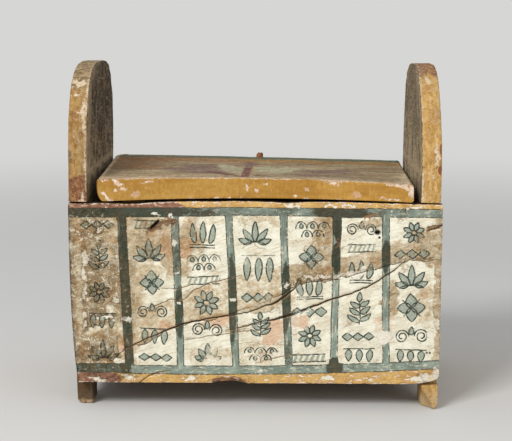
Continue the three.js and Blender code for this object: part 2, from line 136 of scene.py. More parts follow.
@dataclass(frozen=True)
class Grain:
    """Seeded value noise whose features have one size in millimetres, or one along each axis."""
    seed: int
    size: float | tuple[float, float, float]
    octaves: int = 3
    fade: float = 0.5
    side: int = 32
    octave_shift: float = 5.5
    gain: float = 1.6

    def at(self, x: Array, y: Array | float, z: Array) -> Array:
        """Noise from about -1 to 1.

        Random values on a lattice are blended with the weight 6t^5 - 15t^4 + 10t^3 along each axis, and
        each octave halves the features and multiplies their height by fade.

        Args:
            x: Places along X.
            y: Places along Y.
            z: Places along Z.

        Returns:
            One value for each place.
        """
        lattice = np.random.default_rng(self.seed).uniform(-1.0, 1.0, (self.side,) * 3)
        x, y, z = np.broadcast_arrays(x, y, z)
        total = np.zeros(x.shape)
        height, heights = 1.0, 0.0
        for octave in range(self.octaves):
            spots = [axis * 2.0 ** octave / size + self.seed + self.octave_shift * octave
                     for axis, size in zip((x, y, z), np.broadcast_to(self.size, 3))]
            cells = [np.floor(spot).astype(int) for spot in spots]
            shares = [spot - cell for spot, cell in zip(spots, cells)]
            weights = [t ** 3 * (t * (6.0 * t - 15.0) + 10.0) for t in shares]
            layer = np.zeros(x.shape)
            for corner in np.ndindex(2, 2, 2):
                weight = np.ones(x.shape)
                for far, share in zip(corner, weights):
                    weight = weight * (share if far else 1.0 - share)
                indices = tuple((cell + far) % self.side for cell, far in zip(cells, corner))
                layer += weight * lattice[indices]
            total += height * layer
            heights += height
            height *= self.fade
        return total / heights * self.gain


@dataclass(frozen=True)
class Patch:
    """An oval on a face: its centre, half sizes, turn in degrees and strength."""
    x: float
    z: float
    half_x: float
    half_z: float
    turn: float = 0.0
    strength: float = 1.0

    def depth(self, x: Array, z: Array) -> Array:
        """How far inside the oval a place lies: 1 at the centre, 0 on the rim, and less outside.

        It is 1 - sqrt((u/a)^2 + (v/b)^2) with u and v along the oval's own axes.

        Args:
            x: Places across the face.
            z: Places up the face.

        Returns:
            The depth at each place.
        """
        turn = math.radians(self.turn)
        along = (x - self.x) * math.cos(turn) + (z - self.z) * math.sin(turn)
        across = (z - self.z) * math.cos(turn) - (x - self.x) * math.sin(turn)
        return 1.0 - np.hypot(along / self.half_x, across / self.half_z)

    def rise(self, x: Array, z: Array) -> Array:
        """The depth in millimetres of the oval's smaller half size."""
        return self.depth(x, z) * min(self.half_x, self.half_z)


@dataclass(frozen=True)
class Patches:
    """Ovals, each a row of its numbers, whose rims are ragged because noise shifts their places."""
    rows: tuple[tuple[float, ...], ...]
    ragged: float = 2.5
    seed: int = 1
    soft: float = 0.35

    @property
    def ovals(self) -> list[Patch]:
        """The rows as ovals."""
        return [Patch(*row) for row in self.rows]

    def _shifted(self, x: Array, z: Array) -> tuple[Array, Array]:
        """Places moved by noise, so that an oval's rim wanders."""
        coarse = Grain(self.seed, 11.0, 4, 0.6)
        return x + self.ragged * coarse.at(x, 0.0, z), z + self.ragged * coarse.at(x, 31.0, z)

    def edge(self, x: Array, z: Array) -> Array:
        """The largest depth in millimetres of any oval, above 0 inside."""
        x, z = self._shifted(x, z)
        return np.max([oval.rise(x, z) for oval in self.ovals], axis=0)

    def amount(self, x: Array, z: Array) -> Array:
        """The largest soft share of any oval, from 0 to its strength."""
        x, z = self._shifted(x, z)
        return np.max([oval.strength * smooth(-self.soft, self.soft, oval.depth(x, z))
                       for oval in self.ovals], axis=0)


@dataclass(frozen=True)
class Band:
    """A strip of exposed ground across a wall: x, lower edge, upper edge and strength at each point."""
    points: tuple[tuple[float, float, float, float], ...]
    seed: int = 28

    def depth(self, x: Array, z: Array) -> Array:
        """How far inside the band's nearer edge a place lies, in millimetres, with a ragged edge.

        Args:
            x: Places across the wall.
            z: Places up the wall.

        Returns:
            The depth at each place.
        """
        run, low, high, _ = np.array(self.points).T
        rough = Grain(self.seed, 12.0, 4, 0.6).at(x, 0.0, z)
        return np.minimum(z - np.interp(x, run, low), np.interp(x, run, high) - z) + 3.0 * rough

    def amount(self, x: Array, z: Array) -> Array:
        """The band's strength inside it, and zero outside.

        Args:
            x: Places across the wall.
            z: Places up the wall.

        Returns:
            The strength at each place.
        """
        run, low, _, strength = np.array(self.points).T
        rim = 1.0 + 0.8 * smooth(7.0, 1.0, z - np.interp(x, run, low))
        return np.interp(x, run, strength, left=0.0, right=0.0) * rim * smooth(-1.0, 1.0, self.depth(x, z))


@dataclass(frozen=True)
class Crack:
    """A split that runs to the right over a wall, with its x, z and half width at each point."""
    points: tuple[tuple[float, float, float], ...]
    darkness: float

    def offset(self, x: Array, z: Array) -> Array:
        """Signed distance above the split, square to its local slope, with a small wander.

        Args:
            x: Places across the wall.
            z: Places up the wall.

        Returns:
            The distance in millimetres.
        """
        run, rise, _ = np.array(self.points).T
        wander = Grain(71, 4.0, 2).at(x, 0.0, 0.0 * x) * 0.5
        slope = np.interp(x, (run[1:] + run[:-1]) / 2, np.diff(rise) / np.diff(run))
        return (z - np.interp(x, run, rise) - wander) / np.hypot(1.0, slope)

    def half_width(self, x: Array) -> Array:
        """Half of the split's width, and less than zero beyond its ends."""
        run, _, width = np.array(self.points).T
        return np.interp(x, run, width, left=-1.0, right=-1.0)


@dataclass
class Skin:
    """Points, quads and triangles of a closed piece in millimetres, and the values its points carry."""
    points: Array
    quads: Array
    triangles: Array
    values: dict[str, Array]

    def _volume(self) -> float:
        """Six times the volume inside the faces, negative where they point inwards.

        Returns:
            The signed number, in cubic millimetres.
        """
        halves = [self.quads[:, [0, 1, 2]], self.quads[:, [0, 2, 3]], self.triangles]
        corners = (self.points - self.points.mean(axis=0))[np.concatenate(halves)]
        return float(np.einsum("ij,ij->i", corners[:, 0], np.cross(corners[:, 1], corners[:, 2])).sum())

    def piece(self, name: str, material: bpy.types.Material) -> bpy.types.Object:
        """Puts the skin into a mesh object with its faces outwards.

        Args:
            name: The object's name.
            material: Its material.

        Returns:
            The new object, linked to the scene.
        """
        if self._volume() < 0.0:
            self.quads, self.triangles = self.quads[:, ::-1], self.triangles[:, ::-1]
        mesh = bpy.data.meshes.new(name)
        counts = len(self.quads), len(self.triangles)
        mesh.vertices.add(len(self.points))
        mesh.loops.add(4 * counts[0] + 3 * counts[1])
        mesh.polygons.add(sum(counts))
        mesh.vertices.foreach_set("co", (self.points * MM).astype(np.float32).ravel())
        mesh.loops.foreach_set("vertex_index", np.concatenate(
            [self.quads.ravel(), self.triangles.ravel()]).astype(np.int32))
        starts = np.concatenate([4 * np.arange(counts[0]), 4 * counts[0] + 3 * np.arange(counts[1])])
        mesh.polygons.foreach_set("loop_start", starts.astype(np.int32))
        mesh.polygons.foreach_set("use_smooth", np.ones(sum(counts), bool))
        for label, value in self.values.items():
            put_value(mesh, label, value)
        mesh.update(calc_edges=True)
        mesh.validate()
        mesh.materials.append(material)
        piece = bpy.data.objects.new(name, mesh)
        bpy.context.scene.collection.objects.link(piece)
        return piece


def put_value(mesh: bpy.types.Mesh, label: str, value: Array) -> None:
    """Stores one number for each vertex under a name that materials read."""
    mesh.attributes.new(label, "FLOAT", "POINT").data.foreach_set("value", value.astype(np.float32).ravel())


def close_tubes(rings: Array) -> Skin:
    """Closes tubes whose rings of points are carried along a path, with a fan to the middle of each end.

    Args:
        rings: Points by tube, station, place round the ring, and axis.

    Returns:
        One skin of all the tubes.
    """
    tubes, stations, around, _ = rings.shape
    index = np.arange(tubes * stations * around).reshape(tubes, stations, around)
    after = np.roll(index, -1, axis=2)
    quads = np.stack([index[:, :-1], after[:, :-1], after[:, 1:], index[:, 1:]], axis=-1).reshape(-1, 4)
    middles = rings[:, [0, -1]].mean(axis=2)
    first = index.size + 2 * np.arange(tubes)[:, None]
    near = np.stack([after[:, 0], index[:, 0], np.broadcast_to(first, (tubes, around))], axis=-1)
    far = np.stack([index[:, -1], after[:, -1], np.broadcast_to(first + 1, (tubes, around))], axis=-1)
    points = np.concatenate([rings.reshape(-1, 3), middles.reshape(-1, 3)])
    return Skin(points, quads, np.concatenate([near.reshape(-1, 3), far.reshape(-1, 3)]), {})


def zip_chains(first: Array, second: Array, first_key: Array, second_key: Array) -> Array:
    """Triangles between two chains of points whose keys both rise and which share their ends.

    Every step along either chain, taken in the order of its key, makes one triangle with the point that
    the other chain has reached.

    Args:
        first: Point numbers of one chain.
        second: Point numbers of the other.
        first_key: Rising keys of the first chain.
        second_key: Rising keys of the second.

    Returns:
        The triangles that have three different points.
    """
    order = np.argsort(np.concatenate([first_key[1:], second_key[1:]]), kind="stable")
    on_first = order < len(first) - 1
    i, j = np.cumsum(on_first), np.cumsum(~on_first)
    back = np.where(on_first, first[np.maximum(i - 1, 0)], second[np.maximum(j - 1, 0)])
    triangles = np.where(on_first[:, None], np.stack([back, first[i], second[j]], axis=1),
                         np.stack([first[i], second[j], back], axis=1))
    same = (triangles == np.roll(triangles, 1, axis=1)).any(axis=1)
    return triangles[~same]


@dataclass
class Plank:
    """A board whose eased section is carried along X.

    The section has p along its broad faces and q from the near broad face to the far one. A subclass says
    where p, q and the share s along the board lie in space, and how deep its surface is worn there.
    """
    width: float
    thickness: float
    ease: float
    near_step: float
    far_step: float
    side_step: float
    station_step: float
    length: float
    cap_insets: tuple[float, ...] = (0.12, 0.4, 0.9, 2.2, 4.2)

    def _marks(self, length: float, step: float) -> Array:
        """Distances along one side of the section: closer round the eased corners and even between.

        Args:
            length: The side's length.
            step: The largest even step.

        Returns:
            The distances.
        """
        corner = np.array([0.0, 0.45, 1.0]) * self.ease
        between = 2 * max(1, round((length - 2 * self.ease) / step / 2)) + 1
        middle = np.linspace(self.ease, length - self.ease, between)[1:-1]
        return np.concatenate([corner, middle, length - corner[::-1]])

    def _ring(self) -> tuple[Array, Array, Array, Array, int]:
        """The section's ring of points, from the middle of the side at p = 0 by the near face.

        A point on the sharp rectangle goes to the nearest point of the rectangle drawn in by the ease,
        plus the ease times the unit direction between them.

        Returns:
            p, q, the outward direction along p and q, and the number of points up to the other side's
            middle.
        """
        near, far = self._marks(self.width, self.near_step), self._marks(self.width, self.far_step)
        side = self._marks(self.thickness, self.side_step)
        half = len(side) // 2
        p = np.concatenate([np.zeros(half), near, np.full(half - 1, self.width),
                            np.full(half + 1, self.width), far[-2::-1], np.zeros(half - 1)])
        q = np.concatenate([side[half:0:-1], np.zeros(len(near)), side[1:half],
                            side[half:], np.full(len(far) - 1, self.thickness), side[-2:half:-1]])
        core_p = np.clip(p, self.ease, self.width - self.ease)
        core_q = np.clip(q, self.ease, self.thickness - self.ease)
        reach = np.hypot(p - core_p, q - core_q)
        out_p, out_q = (p - core_p) / reach, (q - core_q) / reach
        return (core_p + self.ease * out_p, core_q + self.ease * out_q, out_p, out_q,
                2 * half - 1 + len(near))

    def place(self, p: Array, q: Array, s: Array) -> Array:
        """Points in space for places on the section and shares along the board."""
        raise NotImplementedError

    def outward(self, out_p: Array, out_q: Array) -> Array:
        """The direction in space of a direction on the section."""
        raise NotImplementedError

    def wear(self, points: Array, q: Array) -> Array:
        """How deep the surface is worn at each point, in millimetres."""
        raise NotImplementedError

    def skin(self) -> tuple[Skin, Array]:
        """The board's closed surface.

        The rings go from inside one end cap out to its rim, along the board, and into the other cap. Each
        ring inside a cap is the rim drawn in by an inset, and a row of triangles closes the last.

        Returns:
            The skin, and q at each of its points.
        """
        p, q, out_p, out_q, turn = self._ring()
        insets = np.array(self.cap_insets)
        stations = np.linspace(0.0, 1.0, round(self.length / self.station_step) + 1)
        drawn = np.concatenate([insets[::-1], np.zeros(len(stations)), insets])[:, None]
        s = np.concatenate([np.zeros(len(insets)), stations, np.ones(len(insets))])[:, None]
        grid_p = self.width / 2 + (p - self.width / 2) * (1.0 - 2.0 * drawn / self.width)
        grid_q = self.thickness / 2 + (q - self.thickness / 2) * (1.0 - 2.0 * drawn / self.thickness)
        s = np.broadcast_to(s, grid_p.shape)
        points = self.place(grid_p, grid_q, s)
        capped = (drawn > 0.0)[..., None]
        end_out = np.array([1.0, 0.0, 0.0]) * np.where(s < 0.5, -1.0, 1.0)[..., None]
        normals = np.where(capped, end_out, np.broadcast_to(self.outward(out_p, out_q), points.shape))
        points = points - normals * self.wear(points, grid_q)[..., None]
        count = len(p)
        index = np.arange(points.shape[0] * count).reshape(-1, count)
        after = np.roll(index, -1, axis=1)
        quads = np.stack([index[:-1], after[:-1], after[1:], index[1:]], axis=-1).reshape(-1, 4)
        first = np.arange(turn + 1)
        second = np.concatenate([[0], np.arange(count - 1, turn - 1, -1)])
        near_cap = zip_chains(first, second, p[first], p[second])[:, ::-1]
        far_cap = near_cap[:, ::-1] + index[-1, 0]
        return (Skin(points.reshape(-1, 3), quads, np.concatenate([near_cap, far_cap]), {}),
                grid_q.reshape(-1))


def srgb(*shown: int) -> tuple[float, ...]:
    """A colour given as it shows on screen, from 0 to 255, in Blender's linear numbers."""
    share = np.array(shown) / 255.0
    return (*np.where(share <= 0.04045, share / 12.92, ((share + 0.055) / 1.055) ** 2.4).tolist(), 1.0)


class Wire:
    """A node's output that Python's operators can work on: each operator adds one Math node."""

    def __init__(self, graph: "Graph", socket: bpy.types.NodeSocket) -> None:
        """Keeps the graph and the socket."""
        self.graph, self.socket = graph, socket

    def __add__(self, other: "Wire | float") -> "Wire":
        """Sum."""
        return self.graph.maths("ADD", self, other)

    def __sub__(self, other: "Wire | float") -> "Wire":
        """Difference."""
        return self.graph.maths("SUBTRACT", self, other)

    def __rsub__(self, other: float) -> "Wire":
        """Difference from a number."""
        return self.graph.maths("SUBTRACT", other, self)

    def __mul__(self, other: "Wire | float") -> "Wire":
        """Product."""
        return self.graph.maths("MULTIPLY", self, other)

    def __abs__(self) -> "Wire":
        """Size without sign."""
        return self.graph.maths("ABSOLUTE", self)

    __radd__ = __add__
    __rmul__ = __mul__

    def sway(self, reach: "Wire | float") -> "Wire":
        """A noise from 0 to 1 about zero, times a reach."""
        return (self - 0.5) * reach


Value = Wire | float | tuple


@dataclass(frozen=True)
class Noise:
    """Size of a noise's features in millimetres, how many finer layers it has, and its turn in degrees."""
    size: float | tuple[float, float, float]
    detail: float = 4.0
    turn: tuple[float, float, float] = (0.0, 0.0, 0.0)


class Graph:
    """The nodes of a material or a world."""

    def __init__(self, owner: bpy.types.Material | bpy.types.World) -> None:
        """Clears the owner's nodes and keeps its tree.

        Args:
            owner: The material or the world.
        """
        owner.use_nodes = True
        self.tree = owner.node_tree
        self.tree.nodes.clear()
        self.noises: dict[Noise, Wire] = {}

    def node(self, kind: str, settings: dict[str, object], inputs: dict[str | int, Value]) -> bpy.types.Node:
        """Adds one node.

        Args:
            kind: The node's type.
            settings: Its properties, which are set before its sockets.
            inputs: A value or a wire for each socket, by name or number.

        Returns:
            The node.
        """
        node = self.tree.nodes.new(kind)
        for label, value in settings.items():
            setattr(node, label, value)
        for label, value in inputs.items():
            if isinstance(value, Wire):
                self.tree.links.new(value.socket, node.inputs[label])
            else:
                node.inputs[label].default_value = value
        return node

    def wire(self, kind: str, settings: dict[str, object], inputs: dict[str | int, Value],
             output: int | str = 0) -> Wire:
        """One output of a new node."""
        return Wire(self, self.node(kind, settings, inputs).outputs[output])

    def maths(self, operation: str, *values: Value) -> Wire:
        """One Math node."""
        return self.wire("ShaderNodeMath", {"operation": operation}, dict(enumerate(values)))

    def most(self, first: Value, second: Value) -> Wire:
        """The higher of two values."""
        return self.maths("MAXIMUM", first, second)

    def rise(self, value: Value, low: float, high: float) -> Wire:
        """Smoothly from 0 at low to 1 at high, or falling where high is below low.

        Args:
            value: The wire to grade.
            low: The value that gives 0.
            high: The value that gives 1.

        Returns:
            The graded wire.
        """
        falling = high < low
        return self.wire("ShaderNodeMapRange", {"interpolation_type": "SMOOTHSTEP"}, {
            "Value": value, "From Min": min(low, high), "From Max": max(low, high),
            "To Min": 1.0 if falling else 0.0, "To Max": 0.0 if falling else 1.0}, "Result")

    def mix(self, share: Value, first: Value, second: Value) -> Wire:
        """A colour between two, with more of the second the higher the share is."""
        return self.wire("ShaderNodeMix", {"data_type": "RGBA"}, {0: share, 6: first, 7: second}, 2)

    def graded(self, value: Wire, low: float, high: float, first: Value, second: Value) -> Wire:
        """A colour that goes from the first to the second as a value goes from low to high."""
        return self.mix(self.rise(value, low, high), first, second)

    @cached_property
    def place(self) -> Wire:
        """Where the surface is, in millimetres on the piece's own axes."""
        spot = self.wire("ShaderNodeTexCoord", {}, {}, "Object")
        return self.wire("ShaderNodeVectorMath", {"operation": "SCALE"}, {0: spot, "Scale": 1 / MM})

    @cached_property
    def axes(self) -> tuple[Wire, ...]:
        """The place's three coordinates."""
        node = self.node("ShaderNodeSeparateXYZ", {}, {0: self.place})
        return tuple(Wire(self, socket) for socket in node.outputs)

    def _stretched(self, vector: Wire, noise: Noise) -> Wire:
        """A vector along a noise's own turned axes, as a share of its features' size."""
        size = noise.size if isinstance(noise.size, tuple) else (noise.size,) * 3
        return self.wire("ShaderNodeMapping", {"vector_type": "TEXTURE"}, {
            "Vector": vector, "Rotation": tuple(map(math.radians, noise.turn)), "Scale": size})

    def noise(self, noise: Noise) -> Wire:
        """Noise from 0 to 1, mostly near a half. Each noise is made once for a graph.

        Args:
            noise: Which noise.

        Returns:
            The noise at the surface's place.
        """
        if noise not in self.noises:
            self.noises[noise] = self.wire("ShaderNodeTexNoise", {}, {
                "Vector": self._stretched(self.place, noise), "Scale": 1.0, "Detail": noise.detail,
                "Roughness": 0.6}, "Fac")
        return self.noises[noise]

    def crackle(self, cells: Noise, sway: float) -> Wire:
        """Distance from the borders of irregular cells, as a share of their size.

        Args:
            cells: The cells' size and turn.
            sway: How far noise bends the borders, in millimetres.

        Returns:
            The distance.
        """
        bend = self.wire("ShaderNodeTexNoise", {}, {
            "Vector": self.place, "Scale": 0.12, "Detail": cells.detail}, "Color")
        shift = self.wire("ShaderNodeVectorMath", {"operation": "MULTIPLY_ADD"}, {
            0: bend, 1: (sway,) * 3, 2: self.place})
        return self.wire("ShaderNodeTexVoronoi", {"feature": "DISTANCE_TO_EDGE"}, {
            "Vector": self._stretched(shift, cells), "Scale": 1.0}, "Distance")

    def carried(self, label: str) -> Wire:
        """A value that the mesh's points carry."""
        return self.wire("ShaderNodeAttribute", {"attribute_name": label}, {}, "Fac")


class Coat:
    """A colour that other colours are laid over, one after the other."""

    def __init__(self, graph: Graph, colour: Value) -> None:
        """Starts with the lowest colour."""
        self.graph, self.colour = graph, colour

    def blend(self, colour: Value, share: Wire) -> None:
        """Lays a colour over the others by a share."""
        self.colour = self.graph.mix(share, self.colour, colour)

    def lay(self, colour: Value, value: Wire, low: float, high: float, strength: Value = 1.0) -> None:
        """Lays a colour over the others where a value has gone from low to high.

        Args:
            colour: The colour.
            value: What decides where it lies.
            low: The value that gives none of the colour.
            high: The value that gives its full strength.
            strength: The largest share of the colour.
        """
        share = self.graph.rise(value, low, high)
        self.blend(colour, share if strength == 1.0 else share * strength)

    def mottle(self, share: Wire, depth: Value) -> None:
        """Makes the colour uneven: c (1 + d (2s - 1)), darker where the share s is below a half."""
        self.colour = self.graph.wire("ShaderNodeVectorMath", {"operation": "SCALE"}, {
            0: self.colour, "Scale": (share * 2.0 - 1.0) * depth + 1.0})


@dataclass(frozen=True)
class Look:
    """What a finish gives its shader: colour, roughness, height in millimetres and cover."""
    colour: Wire
    roughness: Value
    height: Wire
    cover: Wire | None = None


@dataclass(frozen=True)
class Finish:
    """A procedural surface. A subclass works out its look."""
    name: str

    def look(self, graph: Graph) -> Look:
        """Colour, roughness and height of the surface."""
        raise NotImplementedError

    def material(self) -> bpy.types.Material:
        """The finish as a new material.

        Returns:
            A material with one shader, whose bump has its height in millimetres.
        """
        material = bpy.data.materials.new(self.name)
        graph = Graph(material)
        look = self.look(graph)
        bump = graph.wire("ShaderNodeBump", {}, {"Height": look.height, "Distance": MM, "Strength": 1.0})
        inputs = {"Base Color": look.colour, "Roughness": look.roughness, "Normal": bump,
                  "Specular IOR Level": 0.25}
        if look.cover is not None:
            inputs["Alpha"] = look.cover
        shader = graph.wire("ShaderNodeBsdfPrincipled", {}, inputs)
        graph.node("ShaderNodeOutputMaterial", {}, {"Surface": shader})
        return material


@dataclass(frozen=True)
class WoodFinish(Finish):
    """Old bare wood with its grain along one axis."""
    pale: tuple
    dark: tuple
    grain: tuple[float, float, float]
    pore: tuple = srgb(52, 38, 26)
    dust: tuple = srgb(176, 160, 134)

    def look(self, graph: Graph) -> Look:
        """Streaks along the grain, fine pores and dust.

        Args:
            graph: The material's nodes.

        Returns:
            The look.
        """
        streak = graph.noise(Noise(self.grain, 5.0))
        pore = graph.noise(Noise(tuple(size / 4 for size in self.grain), 3.0))
        coat = Coat(graph, self.pale)
        coat.lay(self.dark, streak, 0.36, 0.64)
        coat.lay(self.pore, pore, 0.58, 0.75, 0.45)
        coat.lay(self.dust, graph.noise(Noise(35.0, 3.0)), 0.5, 0.72, 0.4)
        return Look(coat.colour, 0.85, streak * 0.5 + pore * 0.35)


@dataclass(frozen=True)
class PaintedGessoFinish(Finish):
    """A wall's cream ground with blue-green rails, ochre strips, stains, losses and cracks."""
    cream: tuple = srgb(239, 235, 214)
    cream_shade: tuple = srgb(222, 214, 190)
    blush: tuple = srgb(214, 190, 164)
    ridge: tuple = srgb(248, 243, 228)
    tan: tuple = srgb(208, 190, 155)
    stained_pale: tuple = srgb(206, 188, 154)
    stained: tuple = srgb(184, 159, 119)
    soiled: tuple = srgb(138, 115, 82)
    umber: tuple = srgb(178, 138, 90)
    dirt_and_shade: tuple = srgb(92, 71, 48)
    olive: tuple = srgb(80, 76, 56)
    blue: tuple = srgb(146, 157, 144)
    blue_deep: tuple = srgb(108, 124, 112)
    green_dark: tuple = srgb(44, 58, 44)
    green_brown: tuple = srgb(66, 60, 43)
    outline: tuple = srgb(54, 54, 43)
    ochre: tuple = srgb(214, 174, 106)
    ochre_deep: tuple = srgb(182, 138, 74)
    red: tuple = srgb(158, 116, 92)
    red_deep: tuple = srgb(120, 82, 62)
    plaster: tuple = srgb(240, 232, 216)
    pink: tuple = srgb(210, 178, 156)
    rust: tuple = srgb(208, 158, 118)
    wood: tuple = srgb(148, 108, 72)
    wood_dark: tuple = srgb(88, 60, 40)
    plank: tuple = srgb(164, 136, 100)
    plank_dark: tuple = srgb(128, 98, 66)
    hairline: tuple = srgb(124, 88, 60)
    old_split: tuple = srgb(132, 82, 56)
    deep_split_shade: tuple = srgb(26, 18, 12)
    hole: tuple = srgb(26, 17, 12)
    shadow: tuple = srgb(44, 32, 22)
    fine: Noise = Noise(1.4, 3.0)
    small: Noise = Noise(4.0, 5.0)
    soft: Noise = Noise(16.0)
    grit: Noise = Noise((7.0, 7.0, 6.0), 6.0)
    broad: Noise = Noise((70.0, 12.0, 8.0), turn=(0.0, -17.0, 0.0))
    patchy: Noise = Noise((15.0, 15.0, 12.0))
    fibre: Noise = Noise((16.0, 3.0, 1.7), turn=(0.0, -18.0, 0.0))
    scrape: Noise = Noise((9.0, 3.0, 2.2), 5.0)
    brush: Noise = Noise((2.4, 3.0, 18.0))
    crazing: Noise = Noise((90.0, 30.0, 11.0), turn=(0.0, -17.0, 0.0))
    grain: Noise = Noise((80.0, 7.0, 6.0), 5.0)
    pore: Noise = Noise((26.0, 2.2, 1.8))

    def _ground(self, graph: Graph) -> Wire:
        """The cream ground with its stains, their darker rims, dirt in the hollows and hairlines.

        Args:
            graph: The material's nodes.

        Returns:
            The ground's colour.
        """
        fine, small, soft, fibre, grit = map(
            graph.noise, (self.fine, self.small, self.soft, self.fibre, self.grit))
        broad, patchy = graph.noise(self.broad), graph.noise(self.patchy)
        soiled = (graph.carried("stain") + small.sway(0.7) + soft.sway(0.55) + broad.sway(0.35)
                  + fine.sway(0.3))
        ground = Coat(graph, self.cream)
        ground.lay(self.cream_shade, soft, 0.36, 0.68)
        ground.lay(self.tan, broad * 0.7 + fibre * 0.3, 0.5, 0.64, 0.4)
        ground.lay(self.ridge, fibre + fine * 0.3, 0.58, 0.46, 0.5)
        ground.lay(self.stained_pale, fibre, 0.54, 0.68, 0.5)
        stained = Coat(graph, self.stained_pale)
        stained.lay(self.stained, soiled, 0.3, 0.8)
        stained.lay(self.soiled, soiled, 0.8, 1.35, 0.9)
        stained.lay(self.umber, patchy, 0.53, 0.62, 0.6)
        stained.lay(self.blush, patchy, 0.45, 0.37, 0.45)
        ground.lay(stained.colour, soiled, 0.12, 0.5, 0.94)
        crust = graph.carried("crust") + fine.sway(0.25)
        crusted = graph.rise(soiled, 0.2, 0.8)
        ground.lay(self.cream_shade, crust, -0.16, -0.45, crusted * 0.5)
        ground.lay(self.dirt_and_shade, abs(crust - 0.16), 0.06, 0.0, crusted * 0.5)
        dirty = graph.rise(soiled, 0.1, 0.8) * 0.4 + 0.06
        ground.lay(self.dirt_and_shade, small * 0.5 + fibre * 0.9, 0.74, 0.94, dirty)
        rusty = graph.graded(soiled, 0.3, 0.8, self.rust, self.umber)
        ground.lay(rusty, graph.carried("rust") + small.sway(0.9) + broad.sway(1.0), 0.3, 0.9, 0.65)
        hairs = graph.crackle(self.crazing, 14.0)
        ground.lay(self.hairline, hairs, 0.03, 0.006, graph.rise(soft, 0.42, 0.56) * 0.5)
        gritty = graph.rise(soiled, 0.3, 1.15)
        flaked = grit * 0.6 + fine * 0.4
        ground.lay(self.cream_shade, flaked, 0.545, 0.575, gritty * 0.75)
        ground.lay(self.soiled, abs(flaked - 0.535), 0.016, 0.004, gritty * 0.7)
        ground.lay(self.soiled, grit * 0.6 + small * 0.4, 0.455, 0.42, gritty * 0.65)
        ground.lay(self.dirt_and_shade, fine * 0.6 + small * 0.4, 0.435, 0.4, gritty * 0.7)
        ground.mottle(graph.rise(fine * 0.5 + grit * 0.5, 0.38, 0.62), gritty * 0.12 + 0.07)
        return ground.colour

    def _strips(self, graph: Graph) -> Wire:
        """The ochre strips along the upper and lower edge, partly red-brown, scraped and dirty.

        Args:
            graph: The material's nodes.

        Returns:
            The strips' colour.
        """
        fine, small, soft, scrape = map(graph.noise, (self.fine, self.small, self.soft, self.scrape))
        strip = Coat(graph, graph.graded(scrape * 0.6 + soft * 0.5, 0.46, 0.66, self.ochre, self.ochre_deep))
        brown = graph.graded(small, 0.4, 0.62, self.red, self.red_deep)
        strip.lay(brown, graph.carried("red") + small.sway(0.8), 0.35, 0.65)
        strip.lay(self.wood, small * 0.6 + scrape * 0.6, 0.64, 0.78, 0.6)
        strip.lay(self.pink, scrape, 0.54, 0.64, 0.75)
        strip.lay(self.plaster, scrape + fine * 0.4, 0.8, 0.86)
        strip.mottle(graph.rise(fine * 0.4 + small * 0.6, 0.36, 0.64), 0.16)
        return strip.colour

    def _rails(self, graph: Graph) -> Wire:
        """The rails' blue-green paint, rubbed pale in places and dark where it is sooty.

        Args:
            graph: The material's nodes.

        Returns:
            The rails' colour.
        """
        fine, small, soft, scrape = map(graph.noise, (self.fine, self.small, self.soft, self.scrape))
        upright = graph.carried("upright")
        scrape = scrape + (graph.noise(self.brush) - scrape) * upright
        paint = Coat(graph, self.blue)
        paint.lay(self.blue_deep, soft + fine * 0.5, 0.55, 0.88)
        paint.lay(self.cream_shade, scrape, 0.52, 0.66, 0.6)
        paint.lay(self.blue_deep, scrape, 0.46, 0.36, 0.5)
        paint.lay(self.green_brown, small * 0.6 + soft * 0.5, 0.6, 0.72, 0.6)
        dark = Coat(graph, self.green_dark)
        dark.lay(self.green_brown, soft, 0.4, 0.65)
        dark.lay(self.blue_deep, scrape, 0.54, 0.7, 0.4)
        dark.lay(self.olive, graph.carried("stain") + soft.sway(1.2), 0.5, 1.0, 0.75)
        paint.lay(dark.colour, graph.carried("soot") + small.sway(0.9) + soft.sway(0.7), 0.2, 0.7)
        paint.mottle(graph.rise(graph.axes[2], 208.0, 90.0), 0.12)
        paint.mottle(upright * 0.5 + 0.5, 0.07)
        paint.mottle(graph.rise(fine * 0.5 + small * 0.5, 0.36, 0.64), 0.24)
        return paint.colour

    def _inside(self, graph: Graph) -> Wire:
        """The bare wood of the faces that aren't painted.

        Args:
            graph: The material's nodes.

        Returns:
            The wood's colour.
        """
        plain = Coat(graph, self.plank)
        plain.lay(self.plank_dark, graph.noise(self.grain), 0.38, 0.62)
        plain.lay(self.wood_dark, graph.noise(self.pore), 0.56, 0.7, 0.5)
        plain.lay(self.stained_pale, graph.noise(self.soft), 0.54, 0.68, 0.35)
        return plain.colour

    def look(self, graph: Graph) -> Look:
        """Lays the paint in the order it was laid, then the wear in the order it came, then painted shade.

        Args:
            graph: The material's nodes.

        Returns:
            The look.
        """
        fine, small, fibre, grit, scrape = map(
            graph.noise, (self.fine, self.small, self.fibre, self.grit, self.scrape))
        rail, stain, inward = map(graph.carried, ("rail", "stain", "inward"))
        coat = Coat(graph, self._ground(graph))
        coat.lay(self._strips(graph), graph.carried("strip"), -0.15, 0.15)
        flecked = graph.rise(small + fine * 0.35, 0.79, 0.86) * graph.rise(graph.carried("soot"), 0.9, 0.3)
        rubbed = graph.rise(stain, 0.3, 1.0)
        on_rail = graph.rise(rail + fine.sway(0.9) + small.sway(rubbed * 3.0 + 0.9), -0.2, 0.2)
        thin = flecked * 0.75 + rubbed * graph.rise(grit * 0.5 + small * 0.5, 0.54, 0.66) * 0.5
        coat.blend(self._rails(graph), on_rail * graph.most(0.96 - thin, 0.0))
        unbroken = graph.rise(small, 0.64, 0.48) * 0.9
        coat.lay(self.outline, abs(rail + 0.1 + fine.sway(0.6)), 0.8, 0.36, unbroken)
